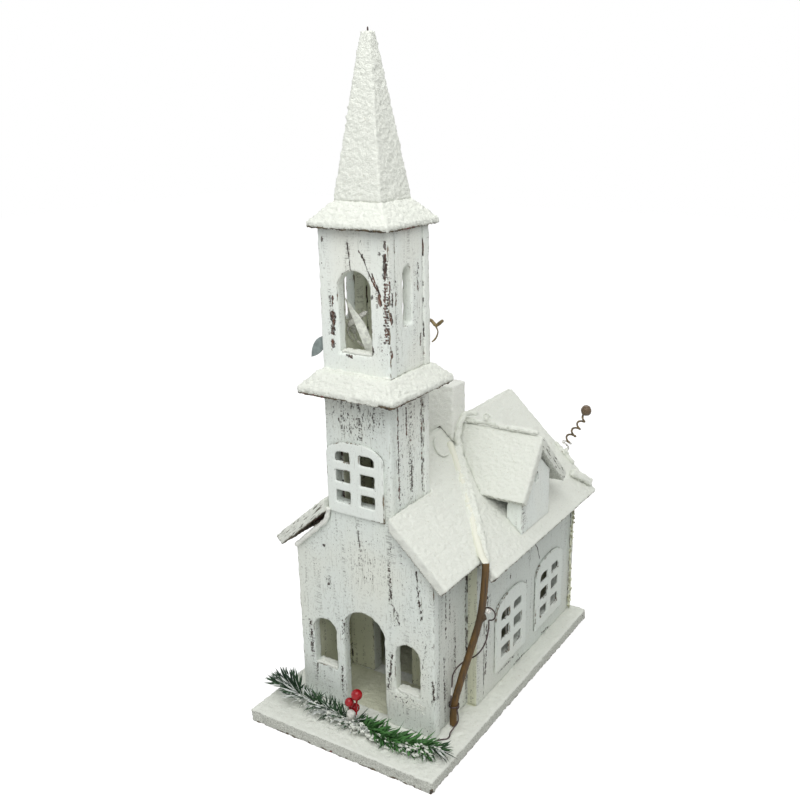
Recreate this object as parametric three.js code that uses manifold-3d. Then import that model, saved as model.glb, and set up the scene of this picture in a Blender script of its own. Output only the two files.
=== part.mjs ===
// A lighted wooden church: nailed boards on a base, snow on its roofs, twigs and a pine garland,
// and a battery string of mini lamps inside.
// Millimetres. X is to the right of the facade, Y goes from the facade to the back, Z is up.
// The origin is the centre of the base's underside.

import * as THREE from 'three';
import Module from 'manifold-3d';
import { mergeVertices } from 'three/addons/utils/BufferGeometryUtils.js';

const wasm = await Module();
wasm.setup();

// Base and boards
const baseWidth = 200;
const baseDepth = 331;
const baseThickness = 12.6;
const boardThickness = 9.5;
const glueLine = 0.3;
const arcSteps = 10;

// How far a cutting body passes the faces that it cuts
const cutMargin = 1;

// Roof: two slabs that meet at the ridge, notched round the tower
const ridgeZ = 244.6;
const pitchRight = THREE.MathUtils.degToRad(43.26);
const pitchLeft = THREE.MathUtils.degToRad(41);
const slabThickness = 9.5;
const ridgeJoint = 0.3;
const towerJoint = 0.4;
const frontOverhang = 7.4;
const rearOverhang = 2;
const porchEaveOverhang = 17.4;
const naveEaveOverhang = 23;
const naveFrontOverhang = 6.3;

// Facade and porch
const facadeHalfWidth = 73.6;
const frontMargin = 48.9;
const shoulderGap = 3;
const shoulderCurveWidth = 10;
const shoulderCurveDrop = 1;
const shoulderCurveBow = 4;
const porchWallInset = 2.4;
const doorCentreX = -1.2;
const doorHalfWidth = 22.3;
const doorSpringZ = 84.6;
const facadeWindowX = 45.6;
const facadeWindowHalfWidth = 13;
const facadeWindowSillZ = 38;
const facadeWindowSpringZ = 75.2;

// Nave
const naveHalfWidth = 82;
const porchDepth = 61.9;
const naveFrontThickness = 14;
const innerDoorCentreX = -13;
const innerDoorHalfWidth = 22;
const innerDoorSpringZ = 84.6;
const casingThickness = 2.5;
const naveCasingHalfWidth = 32.5;
const naveCasingBottomZ = 17.4;
const naveCasingSpringZ = 82.4;
const naveCasingSpacing = 87.5;
const navePaneWidth = 17;
const navePaneHeight = 11.2;
const naveMullion = 9.5;
const navePaneBottomZ = 28.9;
const navePanePitch = 20.3;
const casingArchRise = 13;
const topPaneHeight = 8.8;
const topPaneRound = 6;
const paneRows = 3;
const holeMargin = 1.2;

// Tower below the skirt roof
const towerHalfWidth = 33.5;
const towerSideInset = 1;
const towerHiddenDepth = 30;
const towerCasingX = -2.8;
const towerCasingHalfWidth = 29.5;
const towerCasingBottomZ = 202.4;
const towerCasingSpringZ = 257.4;
const towerPaneWidth = 15;
const towerPaneHeight = 11;
const towerMullion = 10.5;
const towerPaneBottomZ = 213.4;
const towerPanePitch = 19;

// Skirt roof, belfry and spire
const skirtBottomZ = 312;
const skirtHalfWidth = 47.9;
const skirtRim = 5;
const skirtHeight = 17.4;
const skirtTopHalfWidth = 36;
const wireHoleRadius = 4;
const belfryShiftY = 2.5;
const belfryHalfWidth = 34;
const belfryHalfDepth = 30.5;
const belfryHeight = 118;
const belfrySideInset = 0.6;
const belfryWindowHalfWidth = 16;
const belfryWindowSill = 17;
const belfryWindowSpring = 71;
const belfryWindowRise = 14;
const slitShiftY = -2.9;
const slitHalfWidth = 6.3;
const slitSill = 40;
const slitSpring = 79;
const slitRise = 8.6;
const spireSkirtHalfWidth = 38.5;
const spireSkirtTopHalfWidth = 22.5;
const spireSkirtRim = 4;
const spireSkirtHeight = 20;
const spireHeight = 123.5;
const spireTopHalfWidth = 4.1;
const nailRadius = 0.8;
const nailLength = 9;
const nailHoleDepth = 6;

// Chimney and dormer
const chimneyHalfWidth = 15;
const chimneyFrontY = 17;
const chimneyDepth = 23;
const chimneyAboveRidge = 42.3;
const dormerY = 37;
const dormerRidgeLift = 2.2;
const dormerFrontPitch = THREE.MathUtils.degToRad(54);
const dormerRearPitch = THREE.MathUtils.degToRad(44);
const dormerFrontRun = 39;
const dormerRearRun = 58;
const dormerSlabThickness = 10;
const dormerFaceX = 95;
const dormerOverhang = 5;
const dormerFaceThickness = 16;
const dormerFaceHalfWidth = 30;
const leafHoleZ = 199.5;
const leafHoleHalfWidth = 4;
const leafHoleHeight = 11;
const leafHoleBelly = 0.3;
const dormerFaceDepth = 20;

// Battery case, cells, cover and switch
const cellRadius = 7.1;
const cellLength = 49.2;
const cellNubRadius = 2.7;
const cellNubLength = 1.1;
const cellEdge = 0.8;
const cellPlay = 0.3;
const contactRoom = 2.6;
const contactThickness = 0.5;
const contactTipRadius = 1.4;
const contactFootRadius = 3.2;
const cellLift = 0.1;
const caseFloor = 1.6;
const caseSideWall = 3;
const caseEndWall = 2;
const casePartition = 1.6;
const switchBay = 9;
const coverThickness = 1.6;
const coverPlay = 0.25;
const grooveDepth = 1.6;
const caseLip = 1.2;
const caseBackGap = 2.5;
const switchTravel = 3;
const switchKnobWidth = 4;
const switchKnobHeight = 3;
const switchKnobLength = 6;
const switchPlay = 0.3;
const switchPlateThickness = 2;
const coverRibCount = 4;
const coverRibPitch = 2.4;
const coverRibHeight = 0.7;
const coverRibHalfWidth = 0.5;
const coverRibMargin = 4;
const coverRibStart = 3;
const accessHalfWidth = 26;
const accessHeight = 30;

// Twigs, wires, berries and lamps
const vineRadius = 3.3;
const tendrilRadius = 0.7;
const bindingTurns = 1.75;
const bindingPitch = 2.4;
const bindingPlay = 0.45;
const bindingStart = -0.35;
const ridgeTwigRadius = 2.2;
const rakeTwigRadius = 4;
const cornerVineRadius = 2.2;
const roofLoopRadius = 1;
const backTwigRadius = 1.8;
const backBranchRadius = 0.9;
const springRadius = 0.8;
const springCurls = 4;
const springCurlRadius = 4.8;
const springTaper = 2;
const springLength = 41;
const springTilt = THREE.MathUtils.degToRad(31);
const springFootX = 67.4;
const springInset = 4.5;
const springLift = 11;
const curlSteps = 8;
const curlSides = 5;
const windingSteps = 24;
const springBeadRadius = 5.2;
const tendrilBeadRadius = 2.4;
const ringRadius = 6.4;
const ringShrink = 0.6;
const ringTurn = 0.92;
const garlandHalfLength = 94;
const garlandCoreRadius = 4;
const garlandCoreSteps = 12;
const needleCount = 340;
const needleLength = 15.5;
const needleRadius = 0.62;
const needleLean = 0.55;
const needleEndLean = 1.6;
const needleEndShare = 0.85;
const needleFirstAngle = -12;
const needleSpread = 204;
const goldenShare = 0.618034;
const stemRadius = 0.7;
const stringRadius = 1.1;
const lampSocketRadius = 2.6;
const lampSocketLength = 11;
const lampBulbRadius = 2.1;
const lampLength = 25;
const lampWireRadius = 0.8;
const lampFootRadius = 1.2;
const lampFootHeight = 1.6;
const lampTipHeight = 2;
const lampTaperHeight = 5;

// Places worked out from the sizes; heights inside the house are measured from the base's top
const facadeY = -baseDepth / 2 + frontMargin;
const facadeRearY = facadeY + boardThickness;
const naveFrontY = facadeY + porchDepth;
const naveBackY = baseDepth / 2;
const towerRearY = naveFrontY - glueLine;
const towerCentreY = (facadeY + towerRearY) / 2;
const belfryY = towerCentreY + belfryShiftY;
const roofFrontY = facadeY - frontOverhang;
const roofNotchY = naveFrontY - naveFrontOverhang;
const roofRearY = naveBackY + rearOverhang;
const porchEaveX = facadeHalfWidth + porchEaveOverhang;
const naveEaveX = naveHalfWidth + naveEaveOverhang;
const naveMiddleY = (naveFrontY + naveBackY) / 2;
const belfryBottomZ = skirtBottomZ + skirtHeight;
const spireBottomZ = belfryBottomZ + belfryHeight + spireSkirtHeight;
const dormerRidgeZ = ridgeZ + dormerRidgeLift;
const dormerBackX = chimneyHalfWidth + glueLine;

const pitchOf = (side) => (side > 0 ? pitchRight : pitchLeft);
const roofTop = (side, x) => ridgeZ - Math.tan(pitchOf(side)) * Math.abs(x);
const roofUnder = (side, x) => roofTop(side, x) - slabThickness / Math.cos(pitchOf(side));
const shoulderZ = Math.min(roofUnder(1, facadeHalfWidth), roofUnder(-1, facadeHalfWidth)) - shoulderGap;

// Shapes and solids

function paint(color, roughness, metalness = 0) {
  return new THREE.MeshStandardMaterial({ color, roughness, metalness });
}

const whitePaint = () => paint(0xe9ecea, 0.8);
const snow = () => paint(0xf6f7f4, 0.95);
const bark = () => paint(0x7a4a22, 0.75);
const snowyBark = () => paint(0xf0f0ea, 0.95);
const darkWire = () => paint(0x3a2c22, 0.45, 0.6);
const clearLamp = () => paint(0xe8e6da, 0.2);

function part(name, geometry, material) {
  const mesh = new THREE.Mesh(geometry, material);
  mesh.name = name;
  return mesh;
}

function group(x, y, z, ...children) {
  const holder = new THREE.Group();
  holder.position.set(x, y, z);
  holder.add(...children);
  return holder;
}

function solid(geometry) {
  const bare = geometry.clone();
  bare.deleteAttribute('normal');
  bare.deleteAttribute('uv');
  const welded = mergeVertices(bare, 1e-4);
  return new wasm.Manifold(new wasm.Mesh({
    numProp: 3,
    vertProperties: Float32Array.from(welded.attributes.position.array),
    triVerts: Uint32Array.from(welded.index.array),
  }));
}

function geometryOf(manifold) {
  const mesh = manifold.getMesh();
  const geometry = new THREE.BufferGeometry();
  geometry.setAttribute('position', new THREE.BufferAttribute(mesh.vertProperties, 3));
  geometry.setIndex(new THREE.BufferAttribute(mesh.triVerts, 1));
  geometry.computeVertexNormals();
  return geometry;
}

function block(x0, x1, y0, y1, z0, z1) {
  const geometry = new THREE.BoxGeometry(x1 - x0, y1 - y0, z1 - z0);
  geometry.translate((x0 + x1) / 2, (y0 + y1) / 2, (z0 + z1) / 2);
  return geometry;
}

// A board whose outline lies in X and Z, from y = front back by its depth
function boardAcross(shape, front, depth) {
  const geometry = new THREE.ExtrudeGeometry(shape, { depth, bevelEnabled: false, curveSegments: arcSteps });
  geometry.rotateX(Math.PI / 2);
  geometry.translate(0, front + depth, 0);
  return geometry;
}

// A board whose outline lies in Y and Z, from x = side to the right by its depth
function boardAlong(shape, side, depth) {
  const geometry = new THREE.ExtrudeGeometry(shape, { depth, bevelEnabled: false, curveSegments: arcSteps });
  const turn = new THREE.Matrix4().makeBasis(
    new THREE.Vector3(0, 1, 0),
    new THREE.Vector3(0, 0, 1),
    new THREE.Vector3(1, 0, 0),
  );
  geometry.applyMatrix4(turn);
  geometry.translate(side, 0, 0);
  return geometry;
}

// Cutting bodies that pass right through a board of either kind
function throughBoard(shape, front, depth) {
  return solid(boardAcross(shape, front - cutMargin, depth + 2 * cutMargin));
}

function throughBoardAlong(shape, side, depth) {
  return solid(boardAlong(shape, side - cutMargin, depth + 2 * cutMargin));
}

function polygon(corners) {
  return new THREE.Shape(corners.map(([a, b]) => new THREE.Vector2(a, b)));
}

function rectangle(a0, a1, b0, b1) {
  return polygon([[a0, b0], [a1, b0], [a1, b1], [a0, b1]]);
}

// A window or door: straight jambs up to the spring line, then half an ellipse
function archShape(centre, halfWidth, bottom, spring, rise) {
  const shape = new THREE.Shape();
  shape.moveTo(centre - halfWidth, bottom);
  shape.lineTo(centre + halfWidth, bottom);
  shape.lineTo(centre + halfWidth, spring);
  shape.absellipse(centre, spring, halfWidth, rise, 0, Math.PI, false);
  return shape;
}

// A four-sided body on a square rim, narrower at its top
function frustum(bottomHalf, topHalf, height, rim) {
  const slope = new THREE.CylinderGeometry(
    topHalf * Math.SQRT2,
    bottomHalf * Math.SQRT2,
    height - rim,
    4,
  );
  slope.rotateY(Math.PI / 4);
  slope.rotateX(Math.PI / 2);
  slope.translate(0, 0, rim + (height - rim) / 2);
  if (rim === 0) {
    return solid(slope);
  }
  const band = block(-bottomHalf, bottomHalf, -bottomHalf, bottomHalf, 0, rim);
  return solid(slope).add(solid(band));
}

function rod(radius, length, sides) {
  const geometry = new THREE.CylinderGeometry(radius, radius, length, sides);
  geometry.rotateX(Math.PI / 2);
  geometry.translate(0, 0, length / 2);
  return geometry;
}

function vectors(points) {
  return points.map(([x, y, z]) => new THREE.Vector3(x, y, z));
}

function tube(points, radius, sides, steps) {
  const ring = [];
  for (let i = 0; i < sides; i += 1) {
    const angle = (2 * Math.PI * i) / sides;
    ring.push([radius * Math.cos(angle), radius * Math.sin(angle)]);
  }
  const extrudePath = new THREE.CatmullRomCurve3(vectors(points), false, 'centripetal');
  return new THREE.ExtrudeGeometry(polygon(ring), { steps, extrudePath, bevelEnabled: false });
}

// The least clear distance between turns of a wound wire, past the reach of one bend
function leastSelfGap(points, radius, reach) {
  const spots = vectors(points);
  let least = Infinity;
  for (let i = 0; i < spots.length; i += 1) {
    let travelled = 0;
    for (let j = i + 1; j < spots.length; j += 1) {
      travelled += spots[j].distanceTo(spots[j - 1]);
      if (travelled > reach) {
        least = Math.min(least, spots[i].distanceTo(spots[j]) - 2 * radius);
      }
    }
  }
  return least;
}

// Walls

function facadeShape() {
  const curveStart = towerHalfWidth + shoulderCurveWidth;
  const slope = Math.tan(pitchRight);
  const curveStartZ = shoulderZ + slope * (facadeHalfWidth - curveStart) - shoulderCurveDrop;
  const roofZ = Math.min(roofUnder(1, towerHalfWidth), roofUnder(-1, towerHalfWidth));
  const curveEndZ = roofZ - shoulderCurveDrop;
  const bowZ = curveStartZ + shoulderCurveBow;
  const shape = new THREE.Shape();
  shape.moveTo(-facadeHalfWidth, 0);
  shape.lineTo(facadeHalfWidth, 0);
  shape.lineTo(facadeHalfWidth, shoulderZ);
  shape.lineTo(curveStart, curveStartZ);
  shape.quadraticCurveTo(towerHalfWidth, bowZ, towerHalfWidth, curveEndZ);
  shape.lineTo(towerHalfWidth, skirtBottomZ);
  shape.lineTo(-towerHalfWidth, skirtBottomZ);
  shape.lineTo(-towerHalfWidth, curveEndZ);
  shape.quadraticCurveTo(-towerHalfWidth, bowZ, -curveStart, curveStartZ);
  shape.lineTo(-facadeHalfWidth, shoulderZ);
  return shape;
}

function paneField(paneWidth, mullion) {
  return mullion / 2 + paneWidth;
}

function frontWall() {
  const board = solid(boardAcross(facadeShape(), facadeY, boardThickness));
  const cut = (shape) => throughBoard(shape, facadeY, boardThickness);
  const windowShape = (centre) => archShape(
    centre,
    facadeWindowHalfWidth,
    facadeWindowSillZ,
    facadeWindowSpringZ,
    facadeWindowHalfWidth,
  );
  const field = paneField(towerPaneWidth, towerMullion) + holeMargin;
  const lightTop = towerPaneBottomZ + (paneRows - 1) * towerPanePitch + topPaneHeight;
  const tower = rectangle(
    towerCasingX - field,
    towerCasingX + field,
    towerPaneBottomZ - holeMargin / 2,
    lightTop + holeMargin,
  );
  const door = archShape(doorCentreX, doorHalfWidth, -cutMargin, doorSpringZ, doorHalfWidth);
  return geometryOf(board
    .subtract(cut(door))
    .subtract(cut(windowShape(-facadeWindowX)))
    .subtract(cut(windowShape(facadeWindowX)))
    .subtract(cut(tower)));
}

function porchWall(side) {
  const outer = facadeHalfWidth - porchWallInset;
  const x0 = side > 0 ? outer - boardThickness : -outer;
  return block(x0, x0 + boardThickness, facadeRearY, naveFrontY, 0, shoulderZ);
}

function towerSide(side) {
  const outer = towerHalfWidth - towerSideInset;
  const x0 = side > 0 ? outer - boardThickness : -outer;
  const bottom = shoulderZ - towerHiddenDepth;
  return block(x0, x0 + boardThickness, facadeRearY, towerRearY - boardThickness, bottom, skirtBottomZ);
}

function towerBack() {
  const bottom = shoulderZ - towerHiddenDepth;
  const front = towerRearY - boardThickness;
  return block(-towerHalfWidth, towerHalfWidth, front, towerRearY, bottom, skirtBottomZ);
}

// A cross wall of the nave, with its top edges against the undersides of both roof slabs
function gableShape() {
  const top = (side, x) => roofUnder(side, x) - glueLine;
  return polygon([
    [-naveHalfWidth, 0],
    [naveHalfWidth, 0],
    [naveHalfWidth, top(1, naveHalfWidth)],
    [0, Math.min(top(1, 0), top(-1, 0))],
    [-naveHalfWidth, top(-1, naveHalfWidth)],
  ]);
}

function naveFront() {
  const board = solid(boardAcross(gableShape(), naveFrontY, naveFrontThickness));
  const doorway = archShape(
    innerDoorCentreX,
    innerDoorHalfWidth,
    -cutMargin,
    innerDoorSpringZ,
    innerDoorHalfWidth,
  );
  return geometryOf(board.subtract(throughBoard(doorway, naveFrontY, naveFrontThickness)));
}

function naveBack() {
  const front = naveBackY - boardThickness;
  const board = solid(boardAcross(gableShape(), front, boardThickness));
  const access = rectangle(-accessHalfWidth, accessHalfWidth, -cutMargin, accessHeight);
  return geometryOf(board.subtract(throughBoard(access, front, boardThickness)));
}

const casingCentres = [naveMiddleY - naveCasingSpacing / 2, naveMiddleY + naveCasingSpacing / 2];

function naveSide(side) {
  const y0 = naveFrontY + naveFrontThickness;
  const y1 = naveBackY - boardThickness;
  const x0 = side > 0 ? naveHalfWidth - boardThickness : -naveHalfWidth;
  const field = paneField(navePaneWidth, naveMullion) + holeMargin;
  const lightBottom = navePaneBottomZ - holeMargin / 2;
  const lightTop = navePaneBottomZ + (paneRows - 1) * navePanePitch + topPaneHeight + holeMargin;
  let board = solid(block(x0, x0 + boardThickness, y0, y1, 0, roofUnder(side, naveHalfWidth) - glueLine));
  for (const centre of casingCentres) {
    const light = rectangle(centre - field, centre + field, lightBottom, lightTop);
    board = board.subtract(throughBoardAlong(light, x0, boardThickness));
  }
  return geometryOf(board);
}

// Window casings: a thin arched plate with two columns of panes

function paneShape(left, right, bottom, height, roundLeft, roundRight) {
  const top = bottom + height;
  const pane = new THREE.Shape();
  pane.moveTo(left, bottom);
  pane.lineTo(right, bottom);
  if (roundRight) {
    pane.lineTo(right, top - topPaneRound);
    pane.quadraticCurveTo(right, top, right - topPaneRound, top);
  } else {
    pane.lineTo(right, top);
  }
  if (roundLeft) {
    pane.lineTo(left + topPaneRound, top);
    pane.quadraticCurveTo(left, top, left, top - topPaneRound);
  } else {
    pane.lineTo(left, top);
  }
  return pane;
}

function casing(centre, halfWidth, bottom, spring, panes, extrude) {
  const outline = archShape(centre, halfWidth, bottom, spring, casingArchRise);
  let plate = solid(extrude(outline, 0, casingThickness));
  const inner = panes.mullion / 2;
  const outer = inner + panes.width;
  for (let row = 0; row < paneRows; row += 1) {
    const isTop = row === paneRows - 1;
    const height = isTop ? topPaneHeight : panes.height;
    const sill = panes.bottom + row * panes.pitch;
    const leftPane = paneShape(centre - outer, centre - inner, sill, height, isTop, false);
    const rightPane = paneShape(centre + inner, centre + outer, sill, height, false, isTop);
    for (const pane of [leftPane, rightPane]) {
      plate = plate.subtract(solid(extrude(pane, -cutMargin, casingThickness + 2 * cutMargin)));
    }
  }
  return geometryOf(plate);
}

function towerCasing() {
  const panes = {
    width: towerPaneWidth,
    height: towerPaneHeight,
    mullion: towerMullion,
    bottom: towerPaneBottomZ,
    pitch: towerPanePitch,
  };
  const geometry = casing(
    towerCasingX,
    towerCasingHalfWidth,
    towerCasingBottomZ,
    towerCasingSpringZ,
    panes,
    boardAcross,
  );
  geometry.translate(0, facadeY - casingThickness, 0);
  return geometry;
}

function naveCasing(side, centre) {
  const panes = {
    width: navePaneWidth,
    height: navePaneHeight,
    mullion: naveMullion,
    bottom: navePaneBottomZ,
    pitch: navePanePitch,
  };
  const geometry = casing(
    centre,
    naveCasingHalfWidth,
    naveCasingBottomZ,
    naveCasingSpringZ,
    panes,
    boardAlong,
  );
  geometry.translate(side > 0 ? naveHalfWidth : -naveHalfWidth - casingThickness, 0, 0);
  return geometry;
}

// Roofs

function slabSection(side, inner, outer) {
  const pitch = pitchOf(side);
  return polygon([
    [side * inner, roofTop(side, inner)],
    [side * outer, roofTop(side, outer)],
    [
      side * (outer - slabThickness * Math.sin(pitch)),
      roofTop(side, outer) - slabThickness * Math.cos(pitch),
    ],
    [side * inner, roofUnder(side, inner)],
  ]);
}

function roofSlab(side) {
  const besideTower = towerHalfWidth + towerJoint;
  const behindTowerY = towerRearY + towerJoint;
  const overlapY = behindTowerY + boardThickness;
  const stretch = (inner, outer, y0, y1) => solid(boardAcross(slabSection(side, inner, outer), y0, y1 - y0));
  return geometryOf(stretch(besideTower, porchEaveX, roofFrontY, overlapY)
    .add(stretch(besideTower, naveEaveX, roofNotchY, overlapY))
    .add(stretch(ridgeJoint / 2, naveEaveX, behindTowerY, roofRearY)));
}

function chimney() {
  const seat = (side, x) => roofTop(side, x) + glueLine;
  const shape = polygon([
    [-chimneyHalfWidth, seat(-1, chimneyHalfWidth)],
    [0, ridgeZ + glueLine],
    [chimneyHalfWidth, seat(1, chimneyHalfWidth)],
    [chimneyHalfWidth, ridgeZ + chimneyAboveRidge],
    [-chimneyHalfWidth, ridgeZ + chimneyAboveRidge],
  ]);
  return boardAcross(shape, chimneyFrontY, chimneyDepth);
}

// Everything below the right roof slab's top face, with a glue line added, for pieces that sit on it
function belowRightRoof() {
  const lift = glueLine / Math.cos(pitchRight);
  const pastEaveX = naveEaveX + naveEaveOverhang;
  const shape = polygon([
    [-cutMargin, 0],
    [pastEaveX, 0],
    [pastEaveX, roofTop(1, pastEaveX) + lift],
    [0, ridgeZ + lift],
    [-cutMargin, ridgeZ + lift],
  ]);
  return solid(boardAcross(shape, naveFrontY, roofRearY - naveFrontY));
}

const dormerTop = (pitch, offset) => dormerRidgeZ - Math.tan(pitch) * offset;
const dormerUnder = (pitch, offset) => dormerTop(pitch, offset) - dormerSlabThickness / Math.cos(pitch);

function dormerFace() {
  const gap = 2 * glueLine;
  const corner = (direction, pitch) => [
    dormerY + direction * dormerFaceHalfWidth,
    dormerUnder(pitch, dormerFaceHalfWidth) - gap,
  ];
  const floorZ = roofTop(1, dormerFaceX) - dormerFaceDepth;
  const shape = polygon([
    [dormerY - dormerFaceHalfWidth, floorZ],
    [dormerY + dormerFaceHalfWidth, floorZ],
    corner(1, dormerRearPitch),
    [dormerY, dormerUnder(dormerFrontPitch, 0) - gap],
    corner(-1, dormerFrontPitch),
  ]);
  const bellyZ = leafHoleZ + leafHoleHeight * leafHoleBelly;
  const leaf = new THREE.Shape();
  leaf.moveTo(dormerY, leafHoleZ);
  leaf.quadraticCurveTo(
    dormerY + 2 * leafHoleHalfWidth,
    bellyZ,
    dormerY,
    leafHoleZ + leafHoleHeight,
  );
  leaf.quadraticCurveTo(
    dormerY - 2 * leafHoleHalfWidth,
    bellyZ,
    dormerY,
    leafHoleZ,
  );
  const backX = dormerFaceX - dormerFaceThickness;
  return geometryOf(solid(boardAlong(shape, backX, dormerFaceThickness))
    .subtract(throughBoardAlong(leaf, backX, dormerFaceThickness))
    .subtract(belowRightRoof()));
}

function dormerSlab(direction, pitch, run) {
  const start = ridgeJoint / 2;
  const at = (offset) => dormerY + direction * offset;
  const shape = polygon([
    [at(start), dormerTop(pitch, start)],
    [at(run), dormerTop(pitch, run)],
    [
      at(run - dormerSlabThickness * Math.sin(pitch)),
      dormerTop(pitch, run) - dormerSlabThickness * Math.cos(pitch),
    ],
    [at(start), dormerUnder(pitch, start)],
  ]);
  const length = dormerFaceX + dormerOverhang - dormerBackX;
  return geometryOf(solid(boardAlong(shape, dormerBackX, length)).subtract(belowRightRoof()));
}

function skirtRoof() {
  const body = frustum(skirtHalfWidth, skirtTopHalfWidth, skirtHeight, skirtRim);
  const hole = rod(wireHoleRadius, skirtHeight + 2 * cutMargin, 16);
  hole.translate(wireHoleX, wireHoleY, -cutMargin);
  return geometryOf(body.subtract(solid(hole)));
}

// Belfry, in a group at the middle of its bottom

function belfryCross(front) {
  const outline = rectangle(-belfryHalfWidth, belfryHalfWidth, 0, belfryHeight);
  const light = archShape(
    0,
    belfryWindowHalfWidth,
    belfryWindowSill,
    belfryWindowSpring,
    belfryWindowRise,
  );
  return geometryOf(solid(boardAcross(outline, front, boardThickness))
    .subtract(throughBoard(light, front, boardThickness)));
}

function belfrySide(side) {
  const outer = belfryHalfWidth - belfrySideInset;
  const reach = belfryHalfDepth - boardThickness;
  const x0 = side > 0 ? outer - boardThickness : -outer;
  const board = solid(block(x0, x0 + boardThickness, -reach, reach, 0, belfryHeight));
  const slit = archShape(slitShiftY, slitHalfWidth, slitSill, slitSpring, slitRise);
  return geometryOf(board.subtract(throughBoardAlong(slit, x0, boardThickness)));
}

function spire() {
  const body = frustum(spireSkirtTopHalfWidth, spireTopHalfWidth, spireHeight, 0);
  const hole = rod(nailRadius + glueLine, nailHoleDepth + cutMargin, 8);
  hole.translate(0, 0, spireHeight - nailHoleDepth);
  return geometryOf(body.subtract(solid(hole)));
}

// Battery case, in a group at the middle of its underside, with its open end towards the back

const cellRoomWidth = 4 * cellRadius + 3 * cellPlay;
const caseWidth = cellRoomWidth + 2 * caseSideWall;
const cellRoomLength = cellLength + cellNubLength + 2 * contactRoom;
const caseLength = caseEndWall + cellRoomLength + casePartition + switchBay + caseEndWall;
const grooveBottom = caseFloor + 2 * cellRadius + cellPlay + coverPlay;
const grooveTop = grooveBottom + coverThickness + 2 * coverPlay;
const caseHeight = grooveTop + caseLip;
const caseMiddleY = naveBackY - boardThickness - caseBackGap - caseLength / 2;
const caseFrontY = -caseLength / 2;
const partitionY = caseFrontY + caseEndWall + cellRoomLength;
const switchZ = caseFloor + cellRadius;
const switchSlotHalfWidth = switchKnobWidth / 2 + switchTravel / 2 + switchPlay;

function batteryCase() {
  const half = caseWidth / 2;
  const room = cellRoomWidth / 2;
  const rear = caseLength / 2;
  const bayFront = partitionY + casePartition;
  const body = solid(block(-half, half, caseFrontY, rear, 0, caseHeight));
  const front = caseFrontY + caseEndWall;
  const over = caseHeight + cutMargin;
  const past = rear + cutMargin;
  const cellRoom = block(-room, room, front, partitionY, caseFloor, over);
  const bay = block(-room, room, bayFront, rear - caseEndWall, caseFloor, over);
  const mouth = block(-room, room, front, past, grooveBottom, over);
  const reach = room + grooveDepth;
  const groove = block(-reach, reach, front, past, grooveBottom, grooveTop);
  const slot = block(
    -switchSlotHalfWidth,
    switchSlotHalfWidth,
    rear - caseEndWall - cutMargin,
    past,
    switchZ - switchKnobHeight / 2 - switchPlay,
    switchZ + switchKnobHeight / 2 + switchPlay,
  );
  const wireHole = rod(stringRadius + glueLine, caseEndWall + 2 * cutMargin, 12);
  wireHole.rotateX(-Math.PI / 2);
  wireHole.translate(0, caseFrontY - cutMargin, switchZ);
  return geometryOf(body
    .subtract(solid(cellRoom))
    .subtract(solid(bay))
    .subtract(solid(mouth))
    .subtract(solid(groove))
    .subtract(solid(slot))
    .subtract(solid(wireHole)));
}

function batteryCover() {
  const half = cellRoomWidth / 2 + grooveDepth - coverPlay;
  const front = caseFrontY + caseEndWall + coverPlay;
  const z0 = grooveBottom + coverPlay;
  let body = solid(block(-half, half, front, caseLength / 2, z0, z0 + coverThickness));
  const ribReach = cellRoomWidth / 2 - coverRibMargin;
  const ribTop = z0 + coverThickness + coverRibHeight;
  for (let i = 0; i < coverRibCount; i += 1) {
    const y = caseLength / 2 - coverRibStart - i * coverRibPitch;
    const y0 = y - coverRibHalfWidth;
    const y1 = y + coverRibHalfWidth;
    body = body.add(solid(block(-ribReach, ribReach, y0, y1, z0 + coverThickness / 2, ribTop)));
  }
  return geometryOf(body);
}

function switchSlider() {
  const rear = caseLength / 2;
  const x = -switchTravel / 2;
  const half = switchKnobWidth / 2;
  const innerY = rear - caseEndWall - switchPlay;
  const knob = block(
    x - half,
    x + half,
    innerY - switchPlateThickness / 2,
    innerY - switchPlateThickness / 2 + switchKnobLength,
    switchZ - switchKnobHeight / 2,
    switchZ + switchKnobHeight / 2,
  );
  const plateHalf = switchSlotHalfWidth + half;
  const plate = block(
    x - plateHalf,
    x + plateHalf,
    innerY - switchPlateThickness,
    innerY,
    switchZ - switchKnobHeight,
    switchZ + switchKnobHeight,
  );
  return geometryOf(solid(knob).add(solid(plate)));
}

function battery(direction) {
  const end = cellLength / 2;
  const profile = [
    [0, -end],
    [cellRadius - cellEdge, -end],
    [cellRadius, -end + cellEdge],
    [cellRadius, end - cellEdge],
    [cellRadius - cellEdge, end],
    [cellNubRadius, end],
    [cellNubRadius, end + cellNubLength],
    [0, end + cellNubLength],
  ];
  const geometry = new THREE.LatheGeometry(profile.map(([r, y]) => new THREE.Vector2(r, y)), 24);
  geometry.translate(0, -cellNubLength / 2, 0);
  if (direction < 0) {
    geometry.rotateZ(Math.PI);
  }
  return geometry;
}

function contactPlate(end) {
  const room = cellRoomWidth / 2 - cellPlay;
  const wallY = end < 0 ? caseFrontY + caseEndWall : partitionY;
  const top = caseFloor + 2 * cellRadius - 1;
  const y0 = end < 0 ? wallY : wallY - contactThickness;
  let plate = solid(block(-room, room, y0, y0 + contactThickness, caseFloor, top));
  const reach = contactRoom - contactThickness / 2 - glueLine;
  for (const side of [-1, 1]) {
    const bump = new THREE.CylinderGeometry(contactTipRadius, contactFootRadius, reach, 12);
    if (end > 0) {
      bump.rotateX(Math.PI);
    }
    const inward = reach / 2;
    const middleY = wallY - end * (contactThickness / 2 + inward);
    bump.translate(side * (cellRadius + cellPlay / 2), middleY, caseFloor + cellRadius);
    plate = plate.add(solid(bump));
  }
  return geometryOf(plate);
}

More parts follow.
